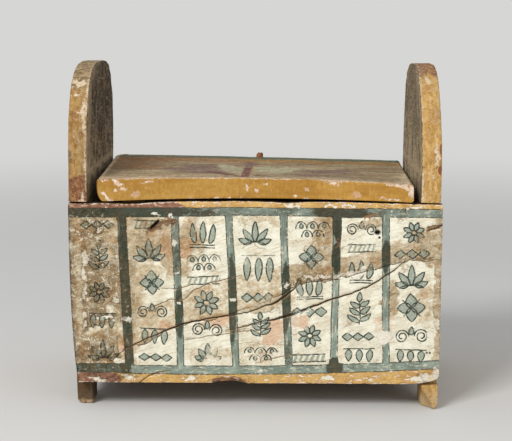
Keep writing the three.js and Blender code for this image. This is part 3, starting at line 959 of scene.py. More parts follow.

        # Painted shadow: a darker strip along the wall's left end, where the end's shadow line falls.
        coat.lay(self.dirt_and_shade, graph.carried("left_end") + small.sway(6.0), 3.2, 0.6, 0.65)
        rim = graph.carried("rim") + small.sway(9.0) + scrape.sway(6.0)
        coat.lay(graph.graded(fine, 0.42, 0.58, self.plaster, self.pink), rim, 1.0, -0.2, 0.8)
        ragged = small.sway(7.0) + fine.sway(3.0)
        lost = graph.rise(graph.carried("bare") + ragged, -0.2, 0.5)
        coat.blend(graph.graded(fibre, 0.4, 0.62, self.wood, self.wood_dark), lost * 0.85)
        plaster = graph.carried("plaster") + ragged
        coat.lay(self.dirt_and_shade, abs(plaster + 1.0), 0.9, 0.3, rubbed * 0.6)
        chipped = graph.rise(plaster, -0.2, 0.4) * (0.95 - rubbed * graph.rise(grit, 0.4, 0.6) * 0.55)
        coat.blend(graph.graded(fine, 0.4, 0.7, self.plaster, self.cream_shade), chipped)

        gap = graph.carried("crack_width") - abs(graph.carried("crack_offset") + fine.sway(0.5))
        coat.lay(self.stained, gap, -1.6, -0.2, graph.rise(small, 0.38, 0.58) * 0.5)
        split = graph.rise(gap, -0.25, 0.2)
        # Painted shade: the darker a split, the nearer black its line, for the shade inside the groove; old
        # splits stay brown.
        coat.blend(graph.mix(graph.carried("crack_darkness"), self.old_split, self.deep_split_shade), split * 0.95)
        # Painted shade: the holes are filled near black, for the shade inside them.
        coat.blend(self.hole, graph.carried("hollow"))
        coat.lay(self._inside(graph), inward + small.sway(1.5), 0.9, 1.5)
        coat.lay(self.shadow, inward, 0.8, 2.2, graph.rise(graph.axes[2], 224.5, 225.6) * 0.85)
        rough = graph.rise(stain, 0.2, 0.9)
        height = (fine * (rough * 0.9 + 0.3) + small * (rough * 1.8 + 0.6) + grit * rough * 3.6 + fibre * 0.7
                  + on_rail * 0.06 - lost * 0.25 + chipped * 0.15 - split * 0.6)
        return Look(coat.colour, 0.84, height)


@dataclass(frozen=True)
class FigureFinish(Finish):
    """Thin brush paint of the ornament, darkened by the same stains and lost in the same places."""
    clean: tuple
    deep: tuple
    stained: tuple
    thin: float
    full: float
    fine: Noise = Noise(1.6, 3.0)
    small: Noise = Noise(4.5)

    def look(self, graph: Graph) -> Look:
        """Uneven paint, see-through where the brush ran dry.

        Args:
            graph: The material's nodes.

        Returns:
            The look.
        """
        fine, small = graph.noise(self.fine), graph.noise(self.small)
        stain, bare, plaster = map(graph.carried, ("stain", "bare", "plaster"))
        coat = Coat(graph, self.clean)
        coat.lay(self.deep, small, 0.38, 0.62)
        coat.lay(self.stained, stain + small.sway(0.9), 0.3, 1.0, 0.9)
        coat.mottle(graph.rise(fine * 0.5 + small * 0.5, 0.36, 0.64), 0.14)
        kept = (graph.rise(bare + small.sway(3.0), 0.1, -0.4)
                * graph.rise(plaster + small.sway(2.0), 0.1, -0.4))
        crust = abs(graph.carried("crust")) + fine.sway(0.3)
        kept = kept * (1.0 - graph.rise(crust, 0.16, 0.5) * graph.rise(stain, 0.2, 0.8) * 0.5)
        dry = graph.rise(small + fine * 0.4, 0.62, 0.84)
        faded = graph.carried("fade") + stain * small.sway(3.0)
        cover = kept * (self.full - dry * (self.full - self.thin)) * graph.rise(faded, 0.85, 0.3)
        return Look(coat.colour, 0.8, fine * 0.2 + small * 0.3, cover)


@dataclass(frozen=True)
class EndBoardFinish(Finish):
    """Yellow paint on an end board's edges and outer face, worn at the arris, and its bare inner face."""
    ochre: tuple
    ochre_deep: tuple
    bare_pale: tuple
    bare_dark: tuple
    red: tuple
    front_tone: float
    low_light_share: float
    grey: tuple = srgb(148, 130, 102)
    dusty: tuple = srgb(160, 140, 108)
    pinkish: tuple = srgb(182, 148, 110)
    gesso: tuple = srgb(228, 214, 188)
    wood: tuple = srgb(134, 84, 48)
    soil_and_shade: tuple = srgb(74, 56, 38)
    ash: tuple = srgb(126, 107, 80)
    silt_and_light: tuple = srgb(186, 167, 135)
    furrow: tuple = srgb(44, 34, 25)
    dark_pore: tuple = srgb(36, 28, 20)
    fine: Noise = Noise(1.5, 3.0)
    small: Noise = Noise((4.5, 4.5, 5.5), 5.0)
    soft: Noise = Noise((18.0, 18.0, 26.0))
    cloud: Noise = Noise((48.0, 48.0, 60.0), 5.0)
    streak: Noise = Noise((12.0, 10.0, 34.0), 6.0)
    knots: Noise = Noise((14.0, 16.0, 20.0), 5.0)
    brushed: Noise = Noise((4.0, 4.0, 16.0))
    scuffs: Noise = Noise((8.0, 26.0, 5.0), 5.0)
    grain: Noise = Noise((5.0, 4.0, 80.0), 5.0)
    pore: Noise = Noise((1.5, 1.4, 26.0))
    adze: Noise = Noise((6.0, 17.0, 2.6))

    def _worn(self, graph: Graph) -> Wire:
        """Where the paint is worn to the gesso: in flecks, at the inner arris, at the rim and in places.

        Args:
            graph: The material's nodes.

        Returns:
            The share that is lost.
        """
        fine, small, soft, brushed = map(graph.noise, (self.fine, self.small, self.soft, self.brushed))
        cloud, scuffs = graph.noise(self.cloud), graph.noise(self.scuffs)
        flecks = graph.rise(small + fine * 0.5, 0.9, 0.98) * 0.8
        from_arris = graph.carried("from_inner") + small.sway(14.0) + soft.sway(8.0) + fine.sway(5.0)
        arris = graph.rise(from_arris, 4.4, 2.4) * graph.rise(small * 0.6 + brushed * 0.4, 0.42, 0.56)
        named = graph.rise(graph.carried("gesso") + small.sway(7.0) + fine.sway(5.0), -0.2, 0.8)
        frayed = graph.rise(graph.carried("rim") + small.sway(12.0) + soft.sway(14.0), 2.6, 1.0)
        side = graph.rise(cloud * 0.5 + scuffs * 0.5, 0.4, 0.36) * graph.carried("outer_side")
        worn = graph.most(graph.most(flecks, arris), named)
        return graph.most(worn, graph.most(frayed, side) * graph.rise(small, 0.38, 0.5))

    def _paint(self, graph: Graph, worn: Wire) -> Wire:
        """The edges' and the outer face's paint.

        Args:
            graph: The material's nodes.
            worn: Where it is worn to the gesso.

        Returns:
            The colour.
        """
        fine, small, soft, brushed = map(graph.noise, (self.fine, self.small, self.soft, self.brushed))
        cloud, scuffs = graph.noise(self.cloud), graph.noise(self.scuffs)
        side = graph.carried("outer_side")
        paint = Coat(graph, self.ochre)
        paint.lay(self.ochre_deep, brushed * 0.6 + soft * 0.5, 0.47, 0.63)
        paint.lay(self.pinkish, small * 0.5 + soft * 0.6, 0.54, 0.7, 0.55)
        dusty = graph.graded(small, 0.42, 0.58, self.ash, self.dusty)
        paint.lay(dusty, graph.carried("grey") + small.sway(1.2), 0.25, 0.75, 0.9)
        ruddy = graph.rise(small * 0.5 + fine * 0.5, 0.58, 0.44) * 0.5 + 0.45
        paint.lay(self.red, graph.carried("red") + small.sway(1.2), 0.3, 0.7, ruddy)
        paint.lay(self.wood, brushed * 0.5 + small * 0.5, 0.54, 0.68, 0.5)
        paint.lay(self.wood, cloud, 0.5, 0.64, side * 0.5)
        paint.lay(self.grey, cloud, 0.48, 0.36, side * 0.55)
        paint.lay(self.soil_and_shade, cloud * 0.4 + scuffs * 0.6, 0.57, 0.66, side * 0.6)
        silted = graph.rise(small, 0.4, 0.56) * 0.75
        paint.lay(self.silt_and_light, graph.axes[2] + small.sway(20.0), 26.0, 12.0, silted)
        paint.lay(self.soil_and_shade, fine * 0.6 + small * 0.4, 0.42, 0.36, 0.45)
        paint.mottle(graph.rise(fine * 0.5 + small * 0.5, 0.36, 0.64), 0.2)
        paint.blend(graph.graded(fine, 0.4, 0.65, self.gesso, self.pinkish), worn * 0.85)
        paint.lay(self.wood, graph.carried("bare") + (small.sway(7.0) + fine.sway(5.0)) * 0.4, -0.2, 0.4)
        return paint.colour

    def _inside(self, graph: Graph) -> Wire:
        """The bare inner face: furrows and pores along the grain, adze marks, silt and soil in places, and
        painted light low down.

        Args:
            graph: The material's nodes.

        Returns:
            The colour.
        """
        _, y, z = graph.axes
        fine, small, streak, knots = map(graph.noise, (self.fine, self.small, self.streak, self.knots))
        grain, pore, adze = map(graph.noise, (self.grain, self.pore, self.adze))
        plain = Coat(graph, self.bare_pale)
        plain.lay(self.bare_dark, grain * 0.6 + pore * 0.4, 0.42, 0.58)
        plain.lay(self.furrow, streak, 0.5, 0.62, 0.45)
        plain.lay(self.grey, streak, 0.5, 0.38, 0.4)
        plain.lay(self.dark_pore, pore, 0.55, 0.66, 0.6)
        plain.lay(self.grey, pore, 0.46, 0.36, 0.5)
        plain.lay(self.wood, knots, 0.54, 0.66, 0.45)
        plain.lay(self.dusty, knots, 0.44, 0.34, 0.4)
        # Painted light: the inner face is made lighter low down, near the lid, most on the right board.
        low = graph.rise(streak, 0.66, 0.4) * self.low_light_share
        plain.lay(self.silt_and_light, z + knots.sway(80.0), 330.0, 250.0, low)
        near_tone = self.dusty if self.front_tone > 0.0 else self.soil_and_shade
        plain.lay(near_tone, y + knots.sway(90.0) + streak.sway(40.0), -52.0, -98.0, abs(self.front_tone))
        plain.lay(self.silt_and_light, adze, 0.54, 0.64, 0.42)
        plain.lay(self.bare_dark, adze, 0.46, 0.36, 0.6)
        plain.lay(self.silt_and_light, abs(z + adze.sway(12.0) - 258.0), 5.0, 2.0, graph.rise(streak, 0.36, 0.5) * 0.65)
        grainy = graph.rise(y, 20.0, -60.0) * graph.rise(grain * 0.5 + pore * 0.5, 0.4, 0.56)
        rim = graph.carried("rim") + adze.sway(60.0) + knots.sway(30.0)
        plain.lay(self.silt_and_light, rim, 22.0, 6.0, grainy * 0.5)
        broken = graph.rise(y + small.sway(20.0), -92.0, -104.0)
        plain.lay(self.soil_and_shade, z + small.sway(40.0), 262.0, 240.0, broken * 0.7)
        plain.mottle(graph.rise(fine * 0.4 + pore * 0.6, 0.38, 0.62), 0.24)
        return plain.colour

    def look(self, graph: Graph) -> Look:
        """The paint, the bare inner face beside it, soil over both near the ground, and painted shadow on the
        feet.

        Args:
            graph: The material's nodes.

        Returns:
            The look.
        """
        fine, small, brushed = map(graph.noise, (self.fine, self.small, self.brushed))
        grain, pore, adze = map(graph.noise, (self.grain, self.pore, self.adze))
        inner = graph.rise(graph.carried("from_inner") + small.sway(2.0), 1.9, 0.9)
        worn = self._worn(graph)
        coat = Coat(graph, self._paint(graph, worn))
        coat.blend(self._inside(graph), inner)
        # Soil near the ground on the outer sides, and painted shadow on the feet below the walls.
        coat.lay(self.soil_and_shade, graph.carried("soil_and_shade") + small.sway(0.8), 0.2, 0.7, 0.9)
        height = (fine * 0.25 + small * 0.9 + brushed * 0.4 + inner * (grain * 1.4 + pore * 1.6 + adze * 1.2)
                  - worn * 0.15)
        return Look(coat.colour, 0.86, height)


@dataclass(frozen=True)
class LidFinish(Finish):
    """The lid's yellow front edge, and its top: streaked, with a green line, an ochre band and a red one."""
    ochre: tuple = srgb(176, 131, 58)
    ochre_deep: tuple = srgb(157, 112, 44)
    ochre_pale: tuple = srgb(196, 156, 84)
    gesso: tuple = srgb(238, 222, 202)
    pink: tuple = srgb(204, 168, 140)
    pale: tuple = srgb(206, 186, 152)
    tan: tuple = srgb(174, 156, 122)
    khaki: tuple = srgb(146, 133, 102)
    sand: tuple = srgb(174, 152, 120)
    brown: tuple = srgb(145, 120, 87)
    orange: tuple = srgb(168, 116, 68)
    purple: tuple = srgb(128, 103, 93)
    green: tuple = srgb(92, 102, 80)
    leaf: tuple = srgb(180, 174, 142)
    red: tuple = srgb(112, 60, 56)
    furrow: tuple = srgb(84, 64, 46)
    ridge: tuple = srgb(190, 170, 138)
    under: tuple = srgb(96, 74, 52)
    fine: Noise = Noise(1.6, 3.0)
    small: Noise = Noise(5.0, 5.0)
    soft: Noise = Noise((44.0, 14.0, 12.0))
    hair: Noise = Noise((44.0, 10.0, 10.0), 5.0, (0.0, 0.0, 2.0))
    upright: Noise = Noise((2.2, 4.0, 9.0), 3.0)
    long: Noise = Noise((64.0, 22.0, 22.0), turn=(0.0, 0.0, 3.0))
    wide: Noise = Noise((110.0, 50.0, 50.0), 3.0)
    grit: Noise = Noise((5.0, 14.0, 14.0), 3.0)

    def _bands(self, graph: Graph, top: Coat) -> None:
        """Lays the ochre band and the green line along the rear edge over the top.

        Args:
            graph: The material's nodes.
            top: The top's coat.
        """
        x, y, _ = graph.axes
        long, hair, wide = map(graph.noise, (self.long, self.hair, self.wide))
        waver = long.sway(44.0)
        warm = graph.rise(x, -90.0, -130.0) * graph.rise(abs(y + waver - 30.0), 70.0, 30.0)
        band = graph.most(graph.rise(abs(y + waver * 0.6 - 62.0), 22.0, 8.0), warm * 0.8)
        warmed = graph.graded(x, -60.0, 0.0, self.orange, self.ochre_deep)
        top.blend(warmed, band * graph.rise(hair, 0.68, 0.5) * 0.8)
        greenish = graph.rise(y + waver * 0.35, 74.0, 84.0) * graph.rise(hair * 0.5 + wide * 0.5, 0.74, 0.58)
        top.blend(self.green, greenish * (graph.rise(x, -120.0, -60.0) * 0.5 + 0.42))

    def _top(self, graph: Graph) -> Wire:
        """The top's colour, streaked along X.

        Args:
            graph: The material's nodes.

        Returns:
            The colour.
        """
        x, y, _ = graph.axes
        fine, small, hair = map(graph.noise, (self.fine, self.small, self.hair))
        long, wide, grit = map(graph.noise, (self.long, self.wide, self.grit))
        top = Coat(graph, self.tan)
        top.lay(self.brown, long, 0.4, 0.6)
        top.lay(self.khaki, wide, 0.44, 0.58, 0.6)
        top.lay(self.sand, wide * 0.5 + long * 0.6, 0.6, 0.46, 0.6)
        self._bands(graph, top)
        streaked = long.sway(2.4) + hair.sway(1.2)
        top.lay(self.purple, graph.carried("purple") + streaked, 0.25, 0.85, 0.8)
        top.lay(self.leaf, graph.carried("leaf") + streaked, 0.35, 0.95, 0.8)
        top.lay(self.red, graph.carried("wedge") + fine.sway(1.5) + hair.sway(4.0), -0.3, 1.0, 0.8)
        crossing = graph.carried("cross") + fine.sway(1.4) + small.sway(1.6)
        top.lay(graph.graded(y, -22.0, 0.0, self.red, self.purple), crossing, -0.4, 0.4,
                graph.rise(small, 0.68, 0.52) * 0.9)
        top.lay(self.furrow, hair, 0.53, 0.64, 0.6)
        top.lay(self.ridge, hair, 0.44, 0.34, 0.55)
        right_front = graph.rise(x, 138.0, 168.0) * graph.rise(y, 10.0, -50.0)
        ends = graph.most(right_front, graph.rise(x + y * 0.03, -160.0, -170.0))
        top.lay(self.pale, ends + small.sway(1.2), 0.35, 0.8, 0.8)
        rubbed = graph.graded(fine, 0.4, 0.6, self.pink, self.tan)
        top.lay(rubbed, y + small.sway(40.0) + long.sway(40.0), -88.0, -102.0, 0.75)
        top.mottle(graph.rise(fine * 0.3 + grit * 0.7, 0.38, 0.62), 0.16)
        top.mottle(graph.rise(hair, 0.4, 0.6), 0.14)
        return top.colour

    def _front(self, graph: Graph) -> Wire:
        """The front edge's paint.

        Args:
            graph: The material's nodes.

        Returns:
            The colour.
        """
        fine, small, soft, upright = map(graph.noise, (self.fine, self.small, self.soft, self.upright))
        paint = Coat(graph, self.ochre)
        paint.lay(self.ochre_deep, soft, 0.4, 0.72, 0.7)
        paint.lay(self.ochre_pale, upright * 0.5 + soft * 0.5, 0.54, 0.4, 0.4)
        paint.lay(self.pink, graph.carried("pinkish") + small.sway(9.0) + fine.sway(4.0), -0.3, 1.2, 0.7)
        paint.mottle(graph.rise(fine * 0.4 + small * 0.6, 0.36, 0.64), 0.1)
        paint.mottle(graph.rise(graph.axes[0], -150.0, 130.0), 0.06)
        return paint.colour

    def look(self, graph: Graph) -> Look:
        """The top and the front edge, pale gesso where either is lost, and the plain underside.

        Args:
            graph: The material's nodes.

        Returns:
            The look.
        """
        fine, small, soft = map(graph.noise, (self.fine, self.small, self.soft))
        hair, upright = graph.noise(self.hair), graph.noise(self.upright)
        front = graph.carried("front")
        on_front = graph.rise(front + small.sway(1.6), -0.4, 0.4)
        coat = Coat(graph, self._top(graph))
        coat.blend(self._front(graph), on_front)
        arris = graph.rise(abs(front + 0.2 + small.sway(6.0)), 1.6, 0.5) * graph.rise(soft, 0.66, 0.5)
        loss = graph.carried("loss") + small.sway(8.0) + fine.sway(5.0)
        worn = graph.most(arris * 0.85, graph.rise(loss, -0.2, 0.8))
        worn = graph.most(worn, graph.rise(small + fine * 0.5, 0.94, 0.99))
        coat.blend(graph.graded(fine, 0.4, 0.65, self.gesso, self.pink), worn * 0.92)
        underside = graph.graded(hair, 0.35, 0.6, self.brown, self.under)
        coat.lay(underside, graph.carried("inward"), 18.0, 24.0, 1.0 - on_front)
        height = fine * 0.2 + small * 0.7 + hair * 2.6 * (1.0 - on_front) + upright * 0.2 - worn * 0.2
        return Look(coat.colour, 0.8, height)


def put_on(piece: bpy.types.Object, body: Body, slot: Slot, *nodes: str) -> bpy.types.Object:
    """Lets a finished piece ride on a body and stand for CAD nodes.

    Args:
        piece: The piece.
        body: The body it moves with.
        slot: Not used.
        nodes: CAD nodes that it replaces.

    Returns:
        The piece.
    """
    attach(piece, body.value)
    if nodes:
        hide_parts(*nodes)
    LOG.info("%s: %d faces", piece.name, len(piece.data.polygons))
    return piece


@dataclass(frozen=True)
class Divider:
    """An upright painted rail: where its middle is at an upper and a lower height."""
    upper: float
    lower: float
    heights: tuple[float, float] = (208.0, 48.0)

    def middle(self, z: Array) -> Array:
        """Where the rail's middle is at a height, on the straight line through both."""
        high, low = self.heights
        return self.lower + (self.upper - self.lower) * (z - low) / (high - low)


@dataclass(frozen=True)
class WallScheme:
    """How a wall is painted and where it is stained, lost, split and holed.

    The two edges of the upper rail have a height at their ends and a crown. The lower edge of the lower
    rail has a height at the middle, a slope and a curve.
    """
    dividers: tuple[Divider, ...]
    stain: Patches
    soot: Patches
    rust: Patches
    bare: Patches
    plaster: Patches
    red: Patches
    clear: Patches = Patches(((0, 0, 1, 1),))
    cracks: tuple[Crack, ...] = ()
    holes: tuple[Patch, ...] = ()
    bands: tuple[Band, ...] = ()
    rail_half: float = 3.5
    rail_spread: float = 1.3
    lower_rail: float = 9.0
    upper_rail_foot: tuple[float, float] = (211.4, 2.0)
    upper_rail_head: tuple[float, float] = (220.0, 1.2)
    lower_rail_foot: tuple[float, float, float] = (38.9, 0.014, 0.000115)
    crack_reach: float = 6.0
    crack_shown: float = 5.0
    seed: int = 11

    def _lines(self, x: Array) -> tuple[Array, Array, Array]:
        """Lower and upper edge of the upper rail, and lower edge of the lower rail, as shallow parabolas.

        Args:
            x: Places across the wall.

        Returns:
            The three heights at each place.
        """
        share = parabola_share(x, -HALF_WIDTH, HALF_WIDTH)
        foot, head = (level + crown * share for level, crown in (self.upper_rail_foot, self.upper_rail_head))
        level, slope, curve = self.lower_rail_foot
        return foot, head, level + slope * x + curve * x * x

    def values(self, x: Array, z: Array) -> dict[str, Array]:
        """What the paint and its wear are at places on the wall.

        A rail's value is the distance in from its edge, and the edges wander with a slow noise.

        Args:
            x: Places across the wall.
            z: Places up the wall.

        Returns:
            One array for each name that the finish reads.
        """
        hand = Grain(self.seed, 26.0, 3)
        wander_x, wander_z = 0.55 * hand.at(x, 0.0, z), 0.55 * hand.at(x, 50.0, z)
        upper, upper_end, lower = self._lines(x)
        soot = self.soot.amount(x, z)
        u, v = x + wander_x, z + wander_z
        uprights = np.max([self.rail_half - np.abs(u - rail.middle(z)) for rail in self.dividers], axis=0)
        between = np.minimum(v - lower, upper_end - v)
        top_rail = np.minimum(v - upper, upper_end - v)
        low_rail = np.minimum(v - lower, lower + self.lower_rail - v)
        strip = np.maximum(v - upper_end, lower - v)
        nearest = np.full(x.shape, self.crack_reach)
        width, darkness = np.full(x.shape, -1.0), np.zeros(x.shape)
        for crack in self.cracks:
            offset, half = crack.offset(x, z), crack.half_width(x)
            nearer = (np.abs(offset) < np.abs(nearest)) & (half > -1.0)
            nearest = np.where(nearer, offset, nearest)
            width, darkness = np.where(nearer, half, width), np.where(nearer, crack.darkness, darkness)
        hollow = np.zeros(x.shape)
        for hole in self.holes:
            hollow = np.maximum(hollow, smooth(-0.15, 0.3, hole.depth(x, z)))
        rail = np.maximum(np.maximum(top_rail, low_rail), np.minimum(uprights, between))
        stain = np.max([self.stain.amount(x, z)] + [band.amount(x, z) for band in self.bands], axis=0)
        crust = Grain(self.seed + 6, (7.0, 7.0, 6.0), 5, 0.65).at(x, 0.0, z)
        upright = smooth(-1.0, 1.0, np.minimum(uprights, between) - np.maximum(top_rail, low_rail))
        stain = stain * (1.0 - self.clear.amount(x, z))
        shown = np.abs(nearest) < self.crack_shown
        return {"rail": rail + self.rail_spread * soot * (strip < 0.0), "upright": upright,
                "strip": strip, "stain": stain, "soot": soot, "crust": crust,
                "rust": self.rust.amount(x, z), "bare": self.bare.edge(x, z),
                "plaster": self.plaster.edge(x, z), "red": self.red.amount(x, z),
                "crack_offset": nearest, "crack_width": np.where(shown, width, -1.0),
                "crack_darkness": darkness, "hollow": hollow}

    def depth(self, x: Array, z: Array) -> Array:
        """How far the painted face is sunk by unevenness, losses, splits and holes.

        Args:
            x: Places across the wall.
            z: Places up the wall.

        Returns:
            The depth in millimetres, never below zero.
        """
        now = self.values(x, z)
        slow = Grain(self.seed + 1, 38.0, 3).at(x, 0.0, z)
        lumps = Grain(self.seed + 2, 7.0, 3).at(x, 0.0, z)
        slope = math.radians(18.0)
        along, across = x * math.cos(slope) + z * math.sin(slope), z * math.cos(slope) - x * math.sin(slope)
        fibres = Grain(self.seed + 3, (22.0, 5.0, 2.6), 2).at(along, 0.0, across)
        sunk = 0.42 + 0.2 * slow + 0.1 * lumps + 0.1 * fibres
        for band in self.bands:
            sunk = sunk + 0.4 * smooth(-0.5, 0.8, band.depth(x, z)) * (band.amount(x, z) > 0.0)
        crusted = smooth(0.15, 0.8, now["stain"])
        sunk = sunk + crusted * (0.35 * now["crust"] + 0.3 * smooth(0.02, 0.12, now["crust"]))
        sunk = sunk + 0.55 * smooth(-0.4, 0.6, now["bare"]) + 0.35 * smooth(-0.4, 0.6, now["plaster"])
        reach = np.maximum(now["crack_width"], 0.0) + 0.9
        groove = np.clip(1.0 - np.abs(now["crack_offset"]) / reach, 0.0, 1.0)
        sunk = sunk + groove * np.where(now["crack_width"] > -1.0, 0.4 + 1.7 * now["crack_darkness"], 0.0)
        return np.maximum(sunk + 4.5 * now["hollow"], 0.0)


FRONT_SCHEME = WallScheme(
    dividers=(Divider(-143.0, -135.8), Divider(-85.2, -80.3), Divider(-27.6, -20.5),
              Divider(30.5, 37.0), Divider(87.4, 85.2), Divider(139.5, 142.0)),
    stain=Patches((
        (-172, 130, 44, 100, 0, 1.08), (-176, 196, 30, 20, 0, 1.18), (-198, 130, 8, 90, 0, 1.3),
        (-162, 140, 16, 14, 20, 1.25), (-186, 66, 12, 18, 0, 1.35), (-160, 60, 14, 12, 0, 1.2),
        (-150, 170, 8, 30, 0, 0.75), (-176, 108, 20, 8, 15, 0.3), (-112, 190, 34, 24, 20, 0.68),
        (-92, 168, 10, 26, 0, 0.58), (-118, 150, 20, 12, 10, 0.45), (-70, 188, 14, 26, 0, 0.62),
        (-76, 156, 10, 10, 0, 0.5), (74, 190, 17, 30, 0, 0.62), (184, 187, 22, 13, 8, 0.7),
        (199, 130, 7, 90, 0, 0.7), (182, 122, 12, 24, 0, 0.42), (146, 122, 10, 20, 0, 0.6),
        (190, 168, 14, 10, 0, 0.5), (-20, 60, 60, 16, 8, 0.22), (14, 118, 30, 8, 13, 0.5),
        (-52, 60, 24, 8, 10, 0.3), (150, 176, 10, 10, 0, 0.5), (124, 206, 16, 7, 20, 0.6),
        (-128, 208, 30, 6, 0, 0.6), (0, 209, 60, 5, 0, 0.3), (-160, 43, 34, 9, 0, 1.0),
        (190, 40, 14, 12, 0, 0.7)), 5.0, 21, 0.45),
    bands=(Band((
        (-150, 62, 98, 0.0), (-142, 63, 100, 0.4), (-120, 73, 110, 0.38), (-91, 87, 121, 0.44),
        (-62, 97, 134, 0.44), (-35, 102, 143, 0.36), (2, 114, 155, 0.32), (29, 127, 159, 0.48),
        (45, 138, 161, 0.74), (61, 140, 163, 0.8), (82, 143, 168, 0.74), (101, 147, 171, 0.58),
        (114, 152, 174, 0.5), (135, 157, 178, 0.58), (162, 164, 185, 0.6), (200, 166, 194, 0.55))),),
    soot=Patches((
        (0, 217, 190, 8, 0, 0.3), (-139.5, 128, 8, 108), (-136, 217, 70, 9), (92, 217, 30, 9),
        (-82, 107, 5, 28), (-83, 178, 6, 34, 0, 0.42), (-24, 120, 5, 50), (33, 124, 5, 40),
        (87, 166, 5, 18), (88, 205, 6, 22), (140.5, 168, 5, 18), (-172, 44, 30, 8, 0, 0.6), (86, 47, 9, 10),
        (-62, 216, 20, 6, 0, 0.6), (36, 62, 5, 16, 0, 0.5), (-140, 60, 8, 20)), 1.8, 22, 0.3),
    clear=Patches((
        (-190, 106, 5, 28, 0, 0.4), (-156, 111, 7, 6, 0, 0.75), (-163, 102, 14, 2.6, 0, 0.85),
        (-172, 88, 18, 4.5, 22, 0.7), (-149, 90, 8, 9, 0, 0.55), (-145, 69, 4, 14, 0, 0.55),
        (-148, 52, 7, 4, 0, 0.85), (-162, 172, 10, 8, 0, 0.5), (-155, 192, 8, 9, 0, 0.5),
        (-187.5, 201, 8, 5.5, 0, 0.4), (-188, 150, 6, 26, 0, 0.35)), 2.5, 29, 0.5),
    rust=Patches((
        (-185, 66, 6, 13, 0, 0.9), (-161, 56, 8, 6, 0, 0.8), (-186, 182, 10, 7, 0, 0.7),
        (-96, 181, 6, 8, 0, 0.9), (-40, 96, 17, 8, 12), (18, 86, 13, 17, 0), (-98, 92, 12, 6, 20, 0.7),
        (-140, 68, 11, 9, 30), (-92, 178, 12, 16, 0, 0.7), (-162, 128, 12, 14, 0, 0.7),
        (140, 96, 12, 12, 0, 0.6), (48, 98, 12, 8, 15, 0.8), (80, 152, 14, 6, 10, 0.8),
        (92, 62, 6, 9, 0, 0.6), (10, 60, 26, 8, 10, 0.4), (-72, 176, 9, 12, 0, 0.8)), 4.0, 23, 0.4),
    bare=Patches((
        (-104, 203, 15, 3.4, 40), (-90, 206, 7, 4), (192, 201, 12, 3.2, 16), (-29, 30, 21, 4.2),
        (124, 214, 12, 2.6, 12), (88, 184, 2.6, 3.6)), 2.6, 24),
    plaster=Patches((
        (91, 146, 9, 3.4, 12), (109, 152, 12, 4.4, 30), (140, 80, 8, 9), (-105.5, 214, 3.4, 2.6),
        (-91.7, 213, 3, 2.4), (-86.5, 184, 3, 3.2), (-84, 150, 3.2, 1.7), (-139.7, 98, 3.6, 2.6),
        (-83, 117.5, 3, 2), (-23.8, 122.6, 2.8, 1.6), (34.5, 139, 3.2, 1.9), (39, 224, 8, 1.6),
        (80, 223.5, 7, 2), (-168.6, 31.5, 6.5, 2.8), (-137, 34, 6, 2.2), (-71, 33.5, 7, 2.2),
        (80, 33.5, 7, 3), (123, 34.5, 4, 1.8), (196, 96, 3, 5), (168, 222, 12, 1.6), (-150, 120, 3, 2),
        (74, 148, 7, 1.6), (190, 84, 4, 4), (24, 62, 7, 3, 10), (-183, 167, 3.2, 8), (100, 224, 5, 1.5),
        (-185, 149, 2.6, 9), (-185, 128, 2.2, 8), (-185, 104, 2.2, 4.4), (-166, 195, 2.8, 2.4),
        (-184, 95, 2, 2.6), (186, 35, 15, 4.6, 4), (196, 40, 4, 7), (-158, 101, 8, 1.6), (-152, 98, 3, 2),
        (-149, 52.5, 5, 2), (60, 146, 8, 2, 6), (-46, 54, 9, 1.6, -8), (8, 44, 7, 1.6)), 3.2, 25),
    red=Patches(((-152, 222, 76, 14), (-172, 32, 28, 9), (-29, 30, 19, 6, 0, 0.8)), 3.0, 26, 0.1),
    cracks=(
        Crack(((-155, 54, 0.2), (-139, 67, 0.45), (-121, 76, 0.5), (-104, 83, 0.6), (-90, 89, 0.7),
               (-78, 94, 0.8), (-55, 99, 0.65), (-27, 104, 0.55), (-8.5, 107, 0.5), (8, 113.5, 0.6),
               (19, 117, 0.9), (25, 120, 1.4), (36, 128, 1.0), (48.5, 138.5, 0.15)), 0.88),
        Crack(((-32, 87, 0.1), (-13, 91, 0.5), (6, 97, 0.6), (18, 99, 0.8), (26, 101, 1.25), (40, 105, 1.3),
               (52, 110, 1.05), (85, 123, 0.8), (104, 129, 0.7), (121, 136, 0.7), (137, 146, 0.65),
               (150, 155, 0.5), (161.5, 165, 0.1)), 0.94),
        Crack(((-127, 28, 0.5), (-115, 36, 0.4), (-105, 40.5, 0.4), (-92, 42, 0.1)), 0.7),
        Crack(((0, 51, 0.1), (22, 57, 0.22), (49, 62, 0.1)), 0.1),
        Crack(((-76, 76, 0.1), (-43, 82, 0.22), (-16, 86, 0.22), (8, 88, 0.05)), 0.1),
        Crack(((183, 197, 0.4), (194, 200, 0.7), (200, 205, 0.6)), 0.7),
        Crack(((-101, 133, 0.1), (-82, 133, 0.25), (-66, 138, 0.05)), 0.2),
        Crack(((-124, 108, 0.1), (-105, 115, 0.35), (-91, 121, 0.3), (-76, 121, 0.25), (-66, 131, 0.35),
               (-50, 139, 0.3), (-35, 143, 0.35), (-14, 148, 0.1)), 0.3),
        Crack(((44, 143, 0.1), (58, 140, 0.3), (80, 144, 0.3), (92, 144, 0.1)), 0.4)),
    holes=(Patch(-107.5, 202.5, 8.0, 1.9, 45), Patch(131, 195, 3.2, 2.8), Patch(185.6, 63.6, 1.4, 1.3),
           Patch(189, 63.8, 1.3, 1.3), Patch(133, 189.5, 1.2, 1.6)))

